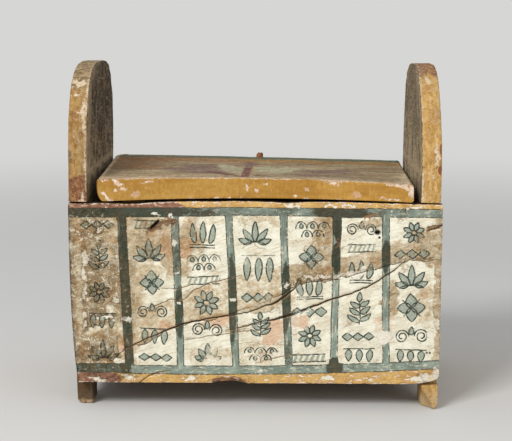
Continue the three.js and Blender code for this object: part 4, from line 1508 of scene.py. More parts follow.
BACK_SCHEME = WallScheme(
    dividers=(Divider(-141.0, -138.0), Divider(-83.0, -84.5), Divider(-26.0, -24.0),
              Divider(33.0, 31.0), Divider(86.0, 88.0), Divider(141.0, 139.0)),
    stain=Patches(((150, 180, 46, 34, 10, 0.6), (-60, 90, 70, 18, 14, 0.5), (-190, 120, 12, 80, 0, 0.6),
                   (40, 60, 60, 18, 5, 0.4), (-130, 190, 40, 18, -12, 0.5)), 5.0, 41, 0.45),
    soot=Patches(((-26, 90, 8, 30), (141, 190, 8, 34), (120, 217, 60, 9)), 1.8, 42, 0.12),
    rust=Patches(((-70, 100, 26, 10, 14), (120, 150, 18, 12), (-172, 70, 14, 20)), 4.0, 43, 0.4),
    bare=Patches(((60, 30, 30, 4), (-150, 222, 24, 3.4), (170, 60, 12, 6, 20)), 2.6, 44),
    plaster=Patches(((-100, 120, 9, 4, 20), (20, 170, 6, 5), (150, 34, 12, 3), (-30, 223, 14, 2)),
                    2.2, 45),
    red=Patches(((150, 222, 70, 14), (-120, 32, 40, 9)), 3.0, 46, 0.1),
    cracks=(Crack(((-150, 96, 0.1), (-110, 90, 0.5), (-60, 80, 0.6), (-10, 76, 0.4), (30, 66, 0.1)), 0.7),),
    seed=31)


@dataclass
class PaintedWall(Plank):
    """A long wall, painted on the face that shows.

    The front wall's left end and its lower right corner are curves of three points, its upper edge is worn
    at places with a spread and a depth, and its lower edge is chipped from one place to another.
    """
    scheme: WallScheme = FRONT_SCHEME
    facing: float = -1.0
    pegs: tuple[tuple[float, float], ...] = ()
    set_in: float = 0.12
    end_set_in: float = 0.15
    left_curve: tuple = ((28.0, -193.4), (84.7, -200.0), (181.0, -200.0))
    right_curve: tuple = ((154.0, 28.0), (199.1, 28.0), (200.0, 38.0))
    worn_places: tuple = ((-130.0, 22.0, 1.8), (34.0, 26.0, 1.1))
    chip: tuple[float, float] = (-46.0, -8.0)
    chip_height: float = 2.6

    def left_edge(self, z: Array) -> Array:
        """The left end, which draws in below along a quadratic curve on the front wall.

        Args:
            z: Places up the wall.

        Returns:
            X of the end at each height.
        """
        if self.facing > 0.0:
            return np.full(np.shape(z), -HALF_WIDTH)
        return bezier_reading(z, *self.left_curve)

    def top(self, x: Array) -> Array:
        """The upper edge, crowned between the end boards and worn down in two places on the front wall.

        Args:
            x: Places across the wall.

        Returns:
            The height at each place.
        """
        worn = sum(depth * np.exp(-((x - place) / spread) ** 2) for place, spread, depth in self.worn_places)
        worn = worn + 0.5 * np.maximum(Grain(63, 14.0, 3).at(x, 0.0, 0.0 * x), 0.0)
        crown = WALL_CROWN * np.maximum(parabola_share(x, LEFT_INNER_FACE, RIGHT_INNER_FACE), 0.0)
        return WALL_TOP + crown - (worn if self.facing < 0.0 else 0.0)

    def bottom(self, x: Array) -> Array:
        """The lower edge, with a chip and a worn right corner on the front wall.

        Args:
            x: Places across the wall.

        Returns:
            The height at each place.
        """
        if self.facing > 0.0:
            return np.full(np.shape(x), FOOT_HEIGHT)
        chip = self.chip_height * np.maximum(parabola_share(x, *self.chip), 0.0)
        return bezier_reading(x, *self.right_curve) + chip

    def place(self, p: Array, q: Array, s: Array) -> Array:
        """x runs between the ends, which are rounded towards the faces, and z between the edges.

        Args:
            p: Places up the section.
            q: Depths from the painted face.
            s: Shares along the wall.

        Returns:
            Points in space.
        """
        z = FOOT_HEIGHT + p
        drawn = np.maximum(round_inset(np.minimum(q, self.thickness - q), self.ease),
                           round_inset(np.minimum(p, self.width - p), self.ease)) + self.end_set_in
        x = (self.left_edge(z) + drawn) * (1.0 - s) + (HALF_WIDTH - drawn) * s
        inset = self.end_set_in
        low, high = self.bottom(x) + inset, self.top(x) - inset
        y = self.facing * (HALF_DEPTH - self.set_in - q)
        return np.stack(np.broadcast_arrays(x, y, low + (high - low) * p / self.width), axis=-1)

    def outward(self, out_p: Array, out_q: Array) -> Array:
        """p points up and q into the box."""
        return np.stack([np.zeros(out_p.shape), -self.facing * out_q, out_p], axis=-1)

    def surface(self, x: Array, z: Array) -> Array:
        """Y of the painted face at places on it.

        Args:
            x: Places across the wall.
            z: Places up the wall.

        Returns:
            Y at each place.
        """
        sunk = self.scheme.depth(x, z)
        for peg_x, peg_z in self.pegs:
            away = np.hypot(x - peg_x, z - peg_z)
            if self.facing > 0.0:
                sunk = sunk + 0.8 * smooth(4.6, 3.8, away)
            else:
                sunk = np.minimum(sunk, 0.5 + 4.0 * smooth(4.4, 8.0, away))
        return self.facing * (HALF_DEPTH - self.set_in - sunk)

    def wear(self, points: Array, q: Array) -> Array:
        """The painted face's own depth there, and a plain unevenness on the other sides.

        Args:
            points: Points in space.
            q: Depths from the painted face.

        Returns:
            The depth of the wear.
        """
        x, y, z = np.moveaxis(points, -1, 0)
        painted = HALF_DEPTH - self.set_in - np.abs(self.surface(x, z))
        plain = 0.2 + 0.15 * Grain(61, (20.0, 6.0, 6.0), 3).at(x, y, z)
        ragged = 0.5 * np.maximum(Grain(62, 5.0, 3).at(x, y, z), 0.0)
        rim = smooth(2.2, 0.6, np.minimum(z - self.bottom(x), self.top(x) - z))
        facing_share = smooth(1.0, 0.2, q)
        return painted * facing_share + plain * (1.0 - facing_share) + ragged * rim

    def build(self, name: str, finish: Finish, node: str) -> bpy.types.Object:
        """Makes the wall's piece.

        Args:
            name: Its name.
            finish: Its finish.
            node: The CAD node that it replaces.

        Returns:
            The piece.
        """
        skin, inward = self.skin()
        x, _, z = skin.points.T
        rim = np.minimum(np.minimum(self.top(x) - z, z - self.bottom(x)), HALF_WIDTH - x)
        skin.values = {**self.scheme.values(x, z), "inward": inward, "rim": rim,
                       "left_end": x - self.left_edge(z)}
        return put_on(skin.piece(name, finish.material()), Body.BOX, Slot.PAINTED_GESSO, node)


@dataclass
class LidBoard(Plank):
    """The lid: one plank, bowed along X, with rounded ends.

    Its edges' heights over its seat are those at its left end, its crown and its right end. Its ends' places
    are those at the front and at the rear edge, and each end has a rounding at its upper and its lower arris.
    """
    front: float = -106.0
    set_in: float = 0.2
    front_heights: tuple[float, float, float] = (25.9, 27.9, 20.9)
    rear_heights: tuple[float, float, float] = (29.3, 26.5, 22.2)
    crown_x: float = -10.0
    bow: float = 1.8
    left_end: tuple[float, float] = (-168.8, -175.6)
    right_end: tuple[float, float] = (169.1, 172.3)
    left_rounds: tuple[float, float] = (3.5, 14.5)
    left_lower_share: float = 0.56
    right_rounds: tuple[float, float] = (5.0, 4.0)
    rear_corner: float = 17.0
    cross_x: float = -9.0
    cross_slope: float = 0.02
    cross_half: float = 4.4
    cross_end: float = 40.0
    losses: Patches = Patches((
        (-146, 247, 8, 2.6, -30), (-139, 240, 4, 2.2, 20), (-149, 239, 2.2, 3), (-113, 249.5, 7, 1.8),
        (-160, 250, 6, 1.4), (-8, 243.5, 1.6, 3.2), (2.7, 239, 2.4, 2.0), (13, 246.5, 1.8, 2.8),
        (82, 248.5, 11, 1.5), (-22, 231.5, 10, 1.2), (167, 238, 3.6, 8), (152, 246, 12, 1.8),
        (42, 235, 1.6, 1.6), (54, 231, 2.4, 1.2), (146, 231, 10, 1.4),
        (-20, 231, 16, 1.0), (160, 244, 8, 2.4, -30), (-158, 231, 12, 2.4, -40)), 2.2, 85)
    pink_spots: Patches = Patches(((108, 236, 3.6, 3.4), (54, 240, 3, 3.4), (-128, 236, 5, 4),
                                   (-60, 230, 26, 2.2), (90, 229, 20, 1.6)), 1.6, 86)
    leaves: Patches = Patches(((-27, -28, 15, 46, 18), (20, -24, 26, 36), (48, -10, 22, 14, 0, 0.7),
                               (-30, -84, 30, 6, -14, 0.7)), 4.0, 87, 0.3)
    purples: Patches = Patches(((-56, -30, 34, 40), (-84, -30, 22, 16, 0, 0.7), (80, -30, 36, 20, 0, 0.6),
                                (-8, 26, 9, 22, 0, 0.8), (60, -70, 40, 8, 0, 0.6)), 4.0, 90, 0.4)
    wedges: Patches = Patches(((-35, -72, 34, 5.5, -50), (6, -84, 16, 3.0, -20)), 3.0, 88)

    def underside(self, x: Array) -> Array:
        """Height of the lid's underside, which follows the walls' crown and is bowed away from it."""
        return (WALL_TOP + SEAT_GAP + WALL_CROWN * parabola_share(x, LEFT_INNER_FACE, RIGHT_INNER_FACE)
                + self.bow * parabola_share(x, self.left_end[1], self.right_end[1]))

    def _edge(self, x: Array, heights: tuple[float, float, float]) -> Array:
        """Height along the lid's front or rear edge: a parabola through its three heights.

        Args:
            x: Places along X.
            heights: Its heights at the left end, the crown and the right end.

        Returns:
            The height at each place.
        """
        left, crown, right = self.left_end[1], self.crown_x, self.right_end[1]
        rise, fall = (heights[1] - heights[0]) / (crown - left), (heights[2] - heights[1]) / (right - crown)
        slope = rise + (fall - rise) / (right - left) * (x - crown)
        return WALL_TOP + SEAT_GAP + heights[0] + (x - left) * slope

    def upper(self, x: Array, y: Array) -> Array:
        """Height of the lid's top, which is ruled from its front edge to its rear edge."""
        back = (y - self.front) / self.width
        return self._edge(x, self.front_heights) * (1.0 - back) + self._edge(x, self.rear_heights) * back

    def place(self, p: Array, q: Array, s: Array) -> Array:
        """y runs back from the front edge, x between the rounded ends and z down from the top.

        Args:
            p: Places from the front edge back.
            q: Depths below the top.
            s: Shares along the lid.

        Returns:
            Points in space.
        """
        back = p / self.width
        left, right = (front + (rear - front) * back for front, rear in (self.left_end, self.right_end))
        left_upper, left_lower = map(round_inset, (q, self.thickness - q), self.left_rounds)
        right_upper, right_lower = map(round_inset, (q, self.thickness - q), self.right_rounds)
        left = (left + self.set_in + left_upper + self.left_lower_share * left_lower
                + round_inset(self.width - p, self.rear_corner))
        right = right - self.set_in - right_upper - right_lower
        x = left * (1.0 - s) + right * s
        y = self.front + self.set_in + p * (1.0 - 2.0 * self.set_in / self.width)
        low, high = self.underside(x) + self.set_in, self.upper(x, y) - self.set_in
        return np.stack(np.broadcast_arrays(x, y, high - (high - low) * q / self.thickness), axis=-1)

    def outward(self, out_p: Array, out_q: Array) -> Array:
        """p points back and q down."""
        return np.stack([np.zeros(out_p.shape), out_p, -out_q], axis=-1)

    def wear(self, points: Array, q: Array) -> Array:
        """Long shallow streaks on the top, dents on the front edge and a ragged upper arris.

        Args:
            points: Points in space.
            q: Depths below the top.

        Returns:
            The depth of the wear.
        """
        x, y, z = np.moveaxis(points, -1, 0)
        streaks = Grain(81, (70.0, 6.0, 30.0), 3).at(x, y, z)
        slow = Grain(82, (60.0, 40.0, 30.0), 3).at(x, y, z)
        lumps = Grain(83, 9.0, 3).at(x, y, z)
        arris = smooth(3.4, 0.4, np.abs(self.front_share(x, y, z))) * smooth(8.0, 3.0, q)
        chips = np.maximum(Grain(84, 8.0, 3).at(x, y, z) - 0.1, 0.0)
        under = smooth(self.thickness - 6.0, self.thickness - 1.0, q)
        worn = 0.45 + 0.25 * streaks + 0.2 * slow + 0.12 * lumps + 1.5 * chips * arris
        on_front = smooth(-0.5, 0.5, self.front_share(x, y, z))
        losses = 0.4 * smooth(-0.4, 0.6, self.losses.edge(x, z)) * on_front
        return np.maximum((worn + losses) * (1.0 - under) + 0.1, 0.0)

    def front_share(self, x: Array, y: Array, z: Array) -> Array:
        """Depth below the top minus depth behind the front: above 0 on the front edge, below on the top."""
        return (self.upper(x, y) - z) - (y - self.front)

    def build(self, finish: Finish) -> bpy.types.Object:
        """Makes the lid board's piece with the values that its finish reads.

        Args:
            finish: The lid's finish.

        Returns:
            The piece.
        """
        skin, inward = self.skin()
        x, y, z = skin.points.T
        wander = 0.8 * Grain(89, 9.0, 3).at(x, y, 0.0 * x)
        across = x + wander - self.cross_x - self.cross_slope * y
        cross = np.minimum(self.cross_half - np.abs(across), self.cross_end - y)
        front = self.front_share(x, y, z)
        skin.values = {
            "front": front, "inward": inward,
            "loss": np.where(front > -4.0, self.losses.edge(x, z), -6.0),
            "pinkish": self.pink_spots.edge(x, z), "leaf": self.leaves.amount(x, y),
            "purple": self.purples.amount(x, y), "wedge": self.wedges.edge(x, y), "cross": cross}
        piece = skin.piece("lid_painted_board", finish.material())
        return put_on(piece, Body.LID, Slot.LID_PAINT, "lid_board")


@dataclass
class EndBoard:
    """A tall end board: the CAD solid, remeshed and worn, with its paint's places."""
    node: str
    outer: float
    inner: float
    lean: float
    rise: float
    seed: int
    red: Patches
    grey: Patches
    gesso: Patches
    bare: Patches
    soil_and_shade: float
    foot_out: float = 0.0
    foot_cut: tuple[float, float] = (0.0, 0.0)
    voxel: float = 1.6
    set_in: float = 0.16

    def _outline_depth(self, y: Array, z: Array) -> tuple[Array, Array]:
        """How far places lie in from the board's outline: at its front or top, and at any side but the foot.

        The outline is the extreme y of each 2 mm of height and the extreme z of each 2 mm of depth.

        Args:
            y: Places across the board.
            z: Places up the board.

        Returns:
            The two depths in millimetres.
        """
        rows, columns = ((axis - axis.min()) // 2.0 for axis in (z, y))
        rows, columns = rows.astype(int), columns.astype(int)
        near, far = np.full(rows.max() + 1, np.inf), np.full(rows.max() + 1, -np.inf)
        top = np.full(columns.max() + 1, -np.inf)
        np.minimum.at(near, rows, y)
        np.maximum.at(far, rows, y)
        np.maximum.at(top, columns, z)
        front = np.minimum(y - near[rows], top[columns] - z)
        return front, np.minimum(front, far[rows] - y)

    def _foot_shift(self, x: Array, y: Array, z: Array) -> Array:
        """How far the front foot's places move outwards: all of it a little, and its inner side more.

        The inner side is cut back more at its front arris near the ground.

        Args:
            x: Places across the box.
            y: Places along the board.
            z: Places up the board.

        Returns:
            The shift along X in millimetres.
        """
        share = np.abs(x - self.outer) / abs(self.outer - self.inner)
        cut = self.foot_cut[0] + self.foot_cut[1] * smooth(26.0, 4.0, z) * smooth(-88.0, -104.0, y)
        return (self.foot_out + share * cut) * smooth(40.0, 27.0, z) * smooth(-50.0, -60.0, y)

    def _fine_copy(self) -> bpy.types.Object:
        """A merged copy of the CAD solid, remeshed into small even faces.

        Returns:
            A new object whose modifier is applied.
        """
        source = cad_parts[self.node]
        mesh = source.data.copy()
        loose = bmesh.new()
        loose.from_mesh(mesh)
        bmesh.ops.remove_doubles(loose, verts=loose.verts, dist=1e-6)
        loose.to_mesh(mesh)
        loose.free()
        copy = bpy.data.objects.new(self.node + "_painted", mesh)
        bpy.context.scene.collection.objects.link(copy)
        remesh = copy.modifiers.new("even_faces", "REMESH")
        remesh.mode = "VOXEL"
        remesh.voxel_size = self.voxel * MM
        graph = bpy.context.evaluated_depsgraph_get()
        fine = bpy.data.meshes.new_from_object(copy.evaluated_get(graph))
        copy.modifiers.clear()
        copy.data = fine
        bpy.data.meshes.remove(mesh)
        return copy

    def build(self, finish: Finish) -> bpy.types.Object:
        """Makes the board's piece.

        Each vertex moves in along its normal by the grain's furrows, a general unevenness, and more where
        it is near an arris, which is where the shares of the normal along two axes are both large.

        Args:
            finish: The board's finish.

        Returns:
            The piece.
        """
        piece = self._fine_copy()
        mesh = piece.data
        points, normals = np.zeros(len(mesh.vertices) * 3), np.zeros(len(mesh.vertices) * 3)
        mesh.vertices.foreach_get("co", points)
        mesh.vertices.foreach_get("normal", normals)
        points, normals = points.reshape(-1, 3) / MM, normals.reshape(-1, 3)
        points[:, 0] += self._foot_shift(*points.T)
        x, y, z = points.T
        lean = self.lean * np.clip((z - WALL_TOP) / self.rise, 0.0, 1.0)
        from_inner = np.abs(x - lean - self.inner)
        inside = smooth(1.4, 0.3, from_inner)
        furrows = Grain(self.seed, (8.0, 5.0, 90.0), 4, 0.6).at(x, y, z)
        lumps = Grain(self.seed + 1, 9.0, 4).at(x, y, z)
        slow = Grain(self.seed + 2, 40.0, 2).at(x, y, z)
        corner = smooth(0.25, 0.7, 1.0 - np.max(np.abs(normals), axis=1))
        chips = np.maximum(Grain(self.seed + 3, (7.0, 7.0, 12.0), 3).at(x, y, z), 0.0)
        broad = smooth(0.5, 0.9, np.abs(normals[:, 0]))
        from_front, rim = self._outline_depth(y, z)
        inset = from_front * broad + 4.0 * lumps * broad
        outer_side = broad * (from_inner > 10.0)
        gesso, bare = (np.where(y < 0.0, patches.edge(x, z) - 0.6 * inset, -4.0)
                       for patches in (self.gesso, self.bare))
        worn = (0.5 + 0.14 * lumps + 0.18 * slow + (0.12 + 0.35 * inside) * furrows + corner * 1.2 * chips
                + 0.35 * smooth(-0.4, 0.6, gesso) + 0.7 * smooth(-0.4, 0.6, bare)
                + 0.4 * outer_side * smooth(3.0, 0.5, rim + 5.0 * lumps))
        points = points - normals * (np.maximum(worn, 0.0) + self.set_in)[:, None]
        mesh.vertices.foreach_set("co", (points * MM).astype(np.float32).ravel())
        front = smooth(80.0, 20.0, y) * smooth(20.0, 6.0, inset)
        # Painted shadow: the feet darken below the walls, most on the left board, whose foot sits back under
        # the front wall.
        foot_shadow = self.soil_and_shade * smooth(40.0, 24.0, z + 6.0 * lumps) * smooth(-1.0, 10.0, z + 2.0 * lumps)
        side_soil = 0.42 * outer_side * smooth(56.0, 4.0, z + 16.0 * lumps)
        values = {"from_inner": from_inner, "red": self.red.amount(x, z) * front,
                  "grey": self.grey.amount(x, z) * smooth(26.0, 10.0, inset), "outer_side": outer_side,
                  "rim": np.where(broad > 0.5, rim, 20.0), "gesso": gesso, "bare": bare,
                  "soil_and_shade": foot_shadow * (1.0 - outer_side) + side_soil}
        for label, value in values.items():
            put_value(mesh, label, value)
        mesh.polygons.foreach_set("use_smooth", np.ones(len(mesh.polygons), bool))
        mesh.update()
        mesh.materials.clear()
        mesh.materials.append(finish.material())
        return put_on(piece, Body.BOX, Slot.OCHRE_PAINT, self.node)


@dataclass(frozen=True)
class Knob:
    """The whittled stub of the lid's knob."""
    x: float = 1.0
    y: float = 100.2
    foot: float = 238.0
    head: float = 257.6
    radius: float = 4.25

    def build(self, finish: Finish) -> bpy.types.Object:
        """Makes the knob: rings whose radius has flat cuts, under a slanted broken end.

        Radius = the stub's own x (1 - cut |cos(2.5a + h)|) for angle a and height h, narrower at the foot.

        Args:
            finish: Its wood.

        Returns:
            The piece.
        """
        share = np.linspace(0.0, 1.0, 26)[:, None]
        angle = np.linspace(0.0, 2.0 * math.pi, 40, endpoint=False)[None, :]
        cuts = 1.0 - 0.1 * np.abs(np.cos(2.5 * angle + 1.3 * share))
        neck = 0.86 + 0.14 * smooth(0.55, 0.8, share) - 0.16 * smooth(0.93, 1.0, share)
        radius = self.radius * cuts * neck
        x, y = radius * np.cos(angle), radius * np.sin(angle)
        broken = 1.6 * smooth(0.2, 1.0, -np.cos(angle - 0.4)) + 0.35 * np.cos(5.0 * angle)
        z = self.foot + (self.head - self.foot) * share - broken * smooth(0.7, 1.0, share)
        rings = np.stack([x + self.x, y + self.y, z + 0.0 * x], axis=-1)[None]
        return put_on(close_tubes(rings).piece("lid_knob_stub", finish.material()), Body.LID, Slot.PEG_WOOD,
                      "lid_knob")


class Motif(Enum):
    """The kinds of ornament on the walls."""
    ROSETTE = "rosette"
    PALMETTE = "palmette"
    DROPS = "drops"
    LOZENGES = "lozenges"
    VOLUTES = "volutes"
    SPRAY = "spray"
    SCALLOPS = "scallops"
    QUATREFOIL = "quatrefoil"
    BORDER = "border"
    FAN = "fan"


@dataclass
class Mark:
    """One mark of the brush: the points of its middle line, its half widths, and whether it is a wash."""
    path: Array
    half: Array
    wash: bool


@dataclass(frozen=True)
class Brush:
    """Draws a motif of a given width and height as marks about its own middle, in millimetres."""
    width: float
    height: float
    rosette_petals: int = 8
    palmette_petals: int = 5
    repeats: int = 3
    bars: int = 6
    steps: int = 18
    line_half: float = 0.66

    @property
    def share(self) -> Array:
        """Shares along a mark."""
        return np.linspace(0.0, 1.0, self.steps)

    def petal(self, base: tuple[float, float], angle: float, length: float, width: float,
              bend: float = 0.0) -> list[Mark]:
        """A filled petal with its outline.

        The middle line is base + length s along the angle, bowed sideways by bend s(1-s), and the half
        width is width/2 sin(pi s^0.8)^0.8.

        Args:
            base: Where it starts.
            angle: Its direction in degrees, clockwise from upright.
            length: Its length.
            width: Its widest width.
            bend: How far it bows.

        Returns:
            A wash and an outline.
        """
        turn, s = math.radians(angle), self.share
        ahead = np.array([math.sin(turn), math.cos(turn)])
        aside = np.array([math.cos(turn), -math.sin(turn)])
        path = np.array(base) + np.outer(length * s, ahead) + np.outer(4.0 * bend * s * (1.0 - s), aside)
        half = width / 2.0 * np.sin(np.pi * np.clip(s, 0.004, 0.996) ** 0.8) ** 0.8
        return self.filled(path, half)

    def filled(self, path: Array, half: Array) -> list[Mark]:
        """A wash along a path and the line round it.

        Args:
            path: The wash's middle line.
            half: Its half width at each point.

        Returns:
            The wash and its outline.
        """
        along = np.gradient(path, axis=0)
        across = np.stack([-along[:, 1], along[:, 0]], axis=1) / np.linalg.norm(along, axis=1)[:, None]
        loop = np.concatenate([path + across * half[:, None], (path - across * half[:, None])[::-1]])
        return [Mark(path, half, True), self.line(np.concatenate([loop, loop[:1]]))]

    def line(self, points: Array, half: float | None = None) -> Mark:
        """A line of even spacing through points.

        Args:
            points: The points.
            half: Its half width, if it isn't the usual one.

        Returns:
            The line.
        """
        points = np.asarray(points, float)
        gone = np.concatenate([[0.0], np.cumsum(np.hypot(*np.diff(points, axis=0).T))])
        at = np.linspace(0.0, gone[-1], 2 * self.steps)
        path = np.stack([np.interp(at, gone, points[:, axis]) for axis in (0, 1)], axis=1)
        return Mark(path, np.full(len(at), half or self.line_half), False)

    def arc(self, middle: tuple[float, float], radii: tuple[float, float], start: float, end: float) -> Mark:
        """A line along part of an oval, with its angles in degrees anticlockwise from the right.

        Args:
            middle: The oval's middle.
            radii: Its two radii.
            start: The first angle.
            end: The last angle.

        Returns:
            The line.
        """
        angle = np.radians(np.linspace(start, end, 2 * self.steps))
        circle = np.stack([np.cos(angle), np.sin(angle)], axis=1)
        return self.line(np.array(middle) + np.array(radii) * circle)

    def rosette(self) -> list[Mark]:
        """Petals all round a small ring.

        Returns:
            Its marks.
        """
        radius = min(self.width, self.height) / 2.0
        marks = [self.arc((0.0, 0.0), (radius * 0.2, radius * 0.2), 0.0, 360.0)]
        for number in range(self.rosette_petals):
            angle = 360.0 / self.rosette_petals * (number + 0.5)
            turn = math.radians(angle)
            base = (radius * 0.24 * math.sin(turn), radius * 0.24 * math.cos(turn))
            marks += self.petal(base, angle, radius * 0.76, radius * 1.7 / self.rosette_petals * 2.0)
        return marks

    def quatrefoil(self) -> list[Mark]:
        """Four broad petals with short lines between them.

        Returns:
            Its marks.
        """
        reach = min(self.width, self.height) / 2.0
        marks = []
        for quarter in range(4):
            marks += self.petal((0.0, 0.0), 90.0 * quarter, reach, reach * 0.78)
            turn = math.radians(90.0 * quarter + 45.0)
            tip = np.array([math.sin(turn), math.cos(turn)])
            marks.append(self.line([tip * reach * 0.35, tip * reach * 0.85]))
        return marks

    def palmette(self) -> list[Mark]:
        """Petals fanned over a low arc.

        Returns:
            Its marks.
        """
        marks = []
        for number in range(self.palmette_petals):
            lean = (number / (self.palmette_petals - 1) - 0.5) * 2.0
            length = self.height * (0.86 - 0.3 * abs(lean))
            base = (lean * self.width * 0.09, -self.height * 0.36)
            marks += self.petal(base, 78.0 * lean, length, self.width * 0.19, 1.2 * lean)
        marks.append(self.arc((0.0, -self.height * 0.5), (self.width * 0.34, self.height * 0.13), 0.0, 180.0))
        return marks

    def fan(self) -> list[Mark]:
        """Three tall leaves side by side over two lines.

        Returns:
            Its marks.
        """
        marks = []
        for lean in (-1.0, 0.0, 1.0):
            base = (lean * self.width * 0.24, -self.height * 0.3)
            length = self.height * (0.8 - 0.08 * abs(lean))
            marks += self.petal(base, 9.0 * lean, length, self.width * 0.2, lean)
        for drop in (0.36, 0.46):
            side, level = self.width * 0.42, -self.height * drop
            marks.append(self.line([(-side, level), (side, level)]))
        return marks

    def drops(self) -> list[Mark]:
        """Drops that hang from a line.

        Returns:
            Its marks.
        """
        marks = [self.line([(-self.width / 2, self.height * 0.48), (self.width / 2, self.height * 0.5)])]
        for number in range(self.repeats):
            across = (number - (self.repeats - 1) / 2.0) * self.width / self.repeats
            wide = self.width * 0.62 / self.repeats
            marks += self.petal((across, self.height * 0.42), 180.0, self.height * 0.88, wide)
        return marks

    def lozenges(self) -> list[Mark]:
        """A row of lozenges point to point.

        Returns:
            Its marks.
        """
        marks = []
        for number in range(self.repeats):
            start = -self.width / 2 + self.width * number / self.repeats
            path = np.stack([start + self.width / self.repeats * self.share, 0.0 * self.share], axis=1)
            half = self.height / 2.0 * (1.0 - np.abs(2.0 * self.share - 1.0)) + 0.08
            marks += self.filled(path, half)
        return marks

    def volutes(self) -> list[Mark]:
        """Two scrolls back to back under a small petal.

        Returns:
            Its marks.
        """
        turn = np.linspace(0.0, 3.6 * math.pi, 60)
        radius = self.height * 0.42 * (1.0 - 0.72 * turn / turn[-1])
        marks = []
        for side in (-1.0, 1.0):
            x = side * (self.width * 0.26 - radius * np.cos(turn) * 0.95)
            marks.append(self.line(np.stack([x, radius * np.sin(turn) - self.height * 0.05], axis=1), 0.7))
        return marks + self.petal((0.0, self.height * 0.02), 0.0, self.height * 0.5, self.width * 0.13)

    def spray(self) -> list[Mark]:
        """A stem with leaves on both sides and one at its tip.

        Returns:
            Its marks.
        """
        s = self.share
        marks = [self.line(np.stack([1.2 * np.sin(3.0 * s), self.height * (s * 0.72 - 0.5)], axis=1), 0.6)]
        for rise in (0.1, 0.34, 0.56):
            for side in (-1.0, 1.0):
                base = (1.2 * math.sin(3.0 * rise), self.height * (rise - 0.5 + 0.02 * side))
                length = self.width * 0.44 * (1.05 - 0.5 * rise)
                marks += self.petal(base, side * 58.0, length, self.height * 0.15, side)
        return marks + self.petal((0.4, self.height * 0.2), 3.0, self.height * 0.3, self.width * 0.16)

    def scallops(self) -> list[Mark]:
        """Two rows of arcs, each with a petal in it.

        Returns:
            Its marks.
        """
        marks, each = [], self.width / self.repeats
        for row, shift in ((0.25, 0.0), (-0.25, 0.5)):
            for number in range(self.repeats - (shift > 0.0)):
                x, y = -self.width / 2 + each * (number + 0.5 + shift), self.height * (row - 0.2)
                marks.append(self.arc((x, y), (each * 0.5, self.height * 0.42), 0.0, 180.0))
                marks += self.petal((x, y + 0.5), 0.0, self.height * 0.3, each * 0.34)
        return marks

    def border(self) -> list[Mark]:
        """Two lines with slanting bars between them.

        Returns:
            Its marks.
        """
        side = self.width / 2
        marks = [self.line([(-side, end * self.height), (side, end * self.height)]) for end in (-0.5, 0.5)]
        for number in range(self.bars):
            foot = -self.width / 2 + self.width * (number + 0.25) / self.bars
            path = np.stack([foot + self.width / self.bars * 0.5 * self.share,
                             self.height * (self.share - 0.5) * 0.8], axis=1)
            marks.append(Mark(path, np.full(self.steps, self.width / self.bars * 0.2), True))
        return marks

    def draw(self, motif: Motif) -> list[Mark]:
        """The marks of one motif."""
        return getattr(self, motif.value)()


# The ornament from the left column to the right one, each from the top down, as kind, width and height
COLUMNS = (
    ((Motif.LOZENGES, 36, 9), (Motif.SPRAY, 30, 34), (Motif.ROSETTE, 24, 24), (Motif.DROPS, 30, 17),
     (Motif.PALMETTE, 32, 24)),
    ((Motif.BORDER, 30, 8), (Motif.PALMETTE, 36, 26), (Motif.QUATREFOIL, 26, 26), (Motif.VOLUTES, 38, 17),
     (Motif.DROPS, 32, 18), (Motif.LOZENGES, 36, 8)),
    ((Motif.FAN, 32, 30), (Motif.SCALLOPS, 36, 18), (Motif.BORDER, 34, 8), (Motif.ROSETTE, 28, 28),
     (Motif.VOLUTES, 38, 18), (Motif.PALMETTE, 34, 20)),
    ((Motif.PALMETTE, 34, 26), (Motif.DROPS, 36, 30), (Motif.LOZENGES, 36, 10), (Motif.SPRAY, 30, 28),
     (Motif.SCALLOPS, 36, 16)),
    ((Motif.SCALLOPS, 36, 18), (Motif.QUATREFOIL, 26, 26), (Motif.FAN, 34, 26), (Motif.LOZENGES, 38, 11),
     (Motif.ROSETTE, 26, 26), (Motif.BORDER, 36, 8)),
    ((Motif.VOLUTES, 38, 16), (Motif.BORDER, 30, 8), (Motif.FAN, 30, 26), (Motif.SPRAY, 34, 36),
     (Motif.LOZENGES, 34, 9), (Motif.DROPS, 34, 15)),
    ((Motif.ROSETTE, 24, 24), (Motif.LOZENGES, 38, 10), (Motif.PALMETTE, 38, 26), (Motif.QUATREFOIL, 30, 30),
     (Motif.VOLUTES, 40, 19), (Motif.DROPS, 34, 14)),
)
COLUMN_MIDDLES = (-166.5, -111.5, -54.0, 4.0, 60.0, 113.0, 168.0)
ORNAMENT_TOP = 207.0
ORNAMENT_BOTTOM = 53.0


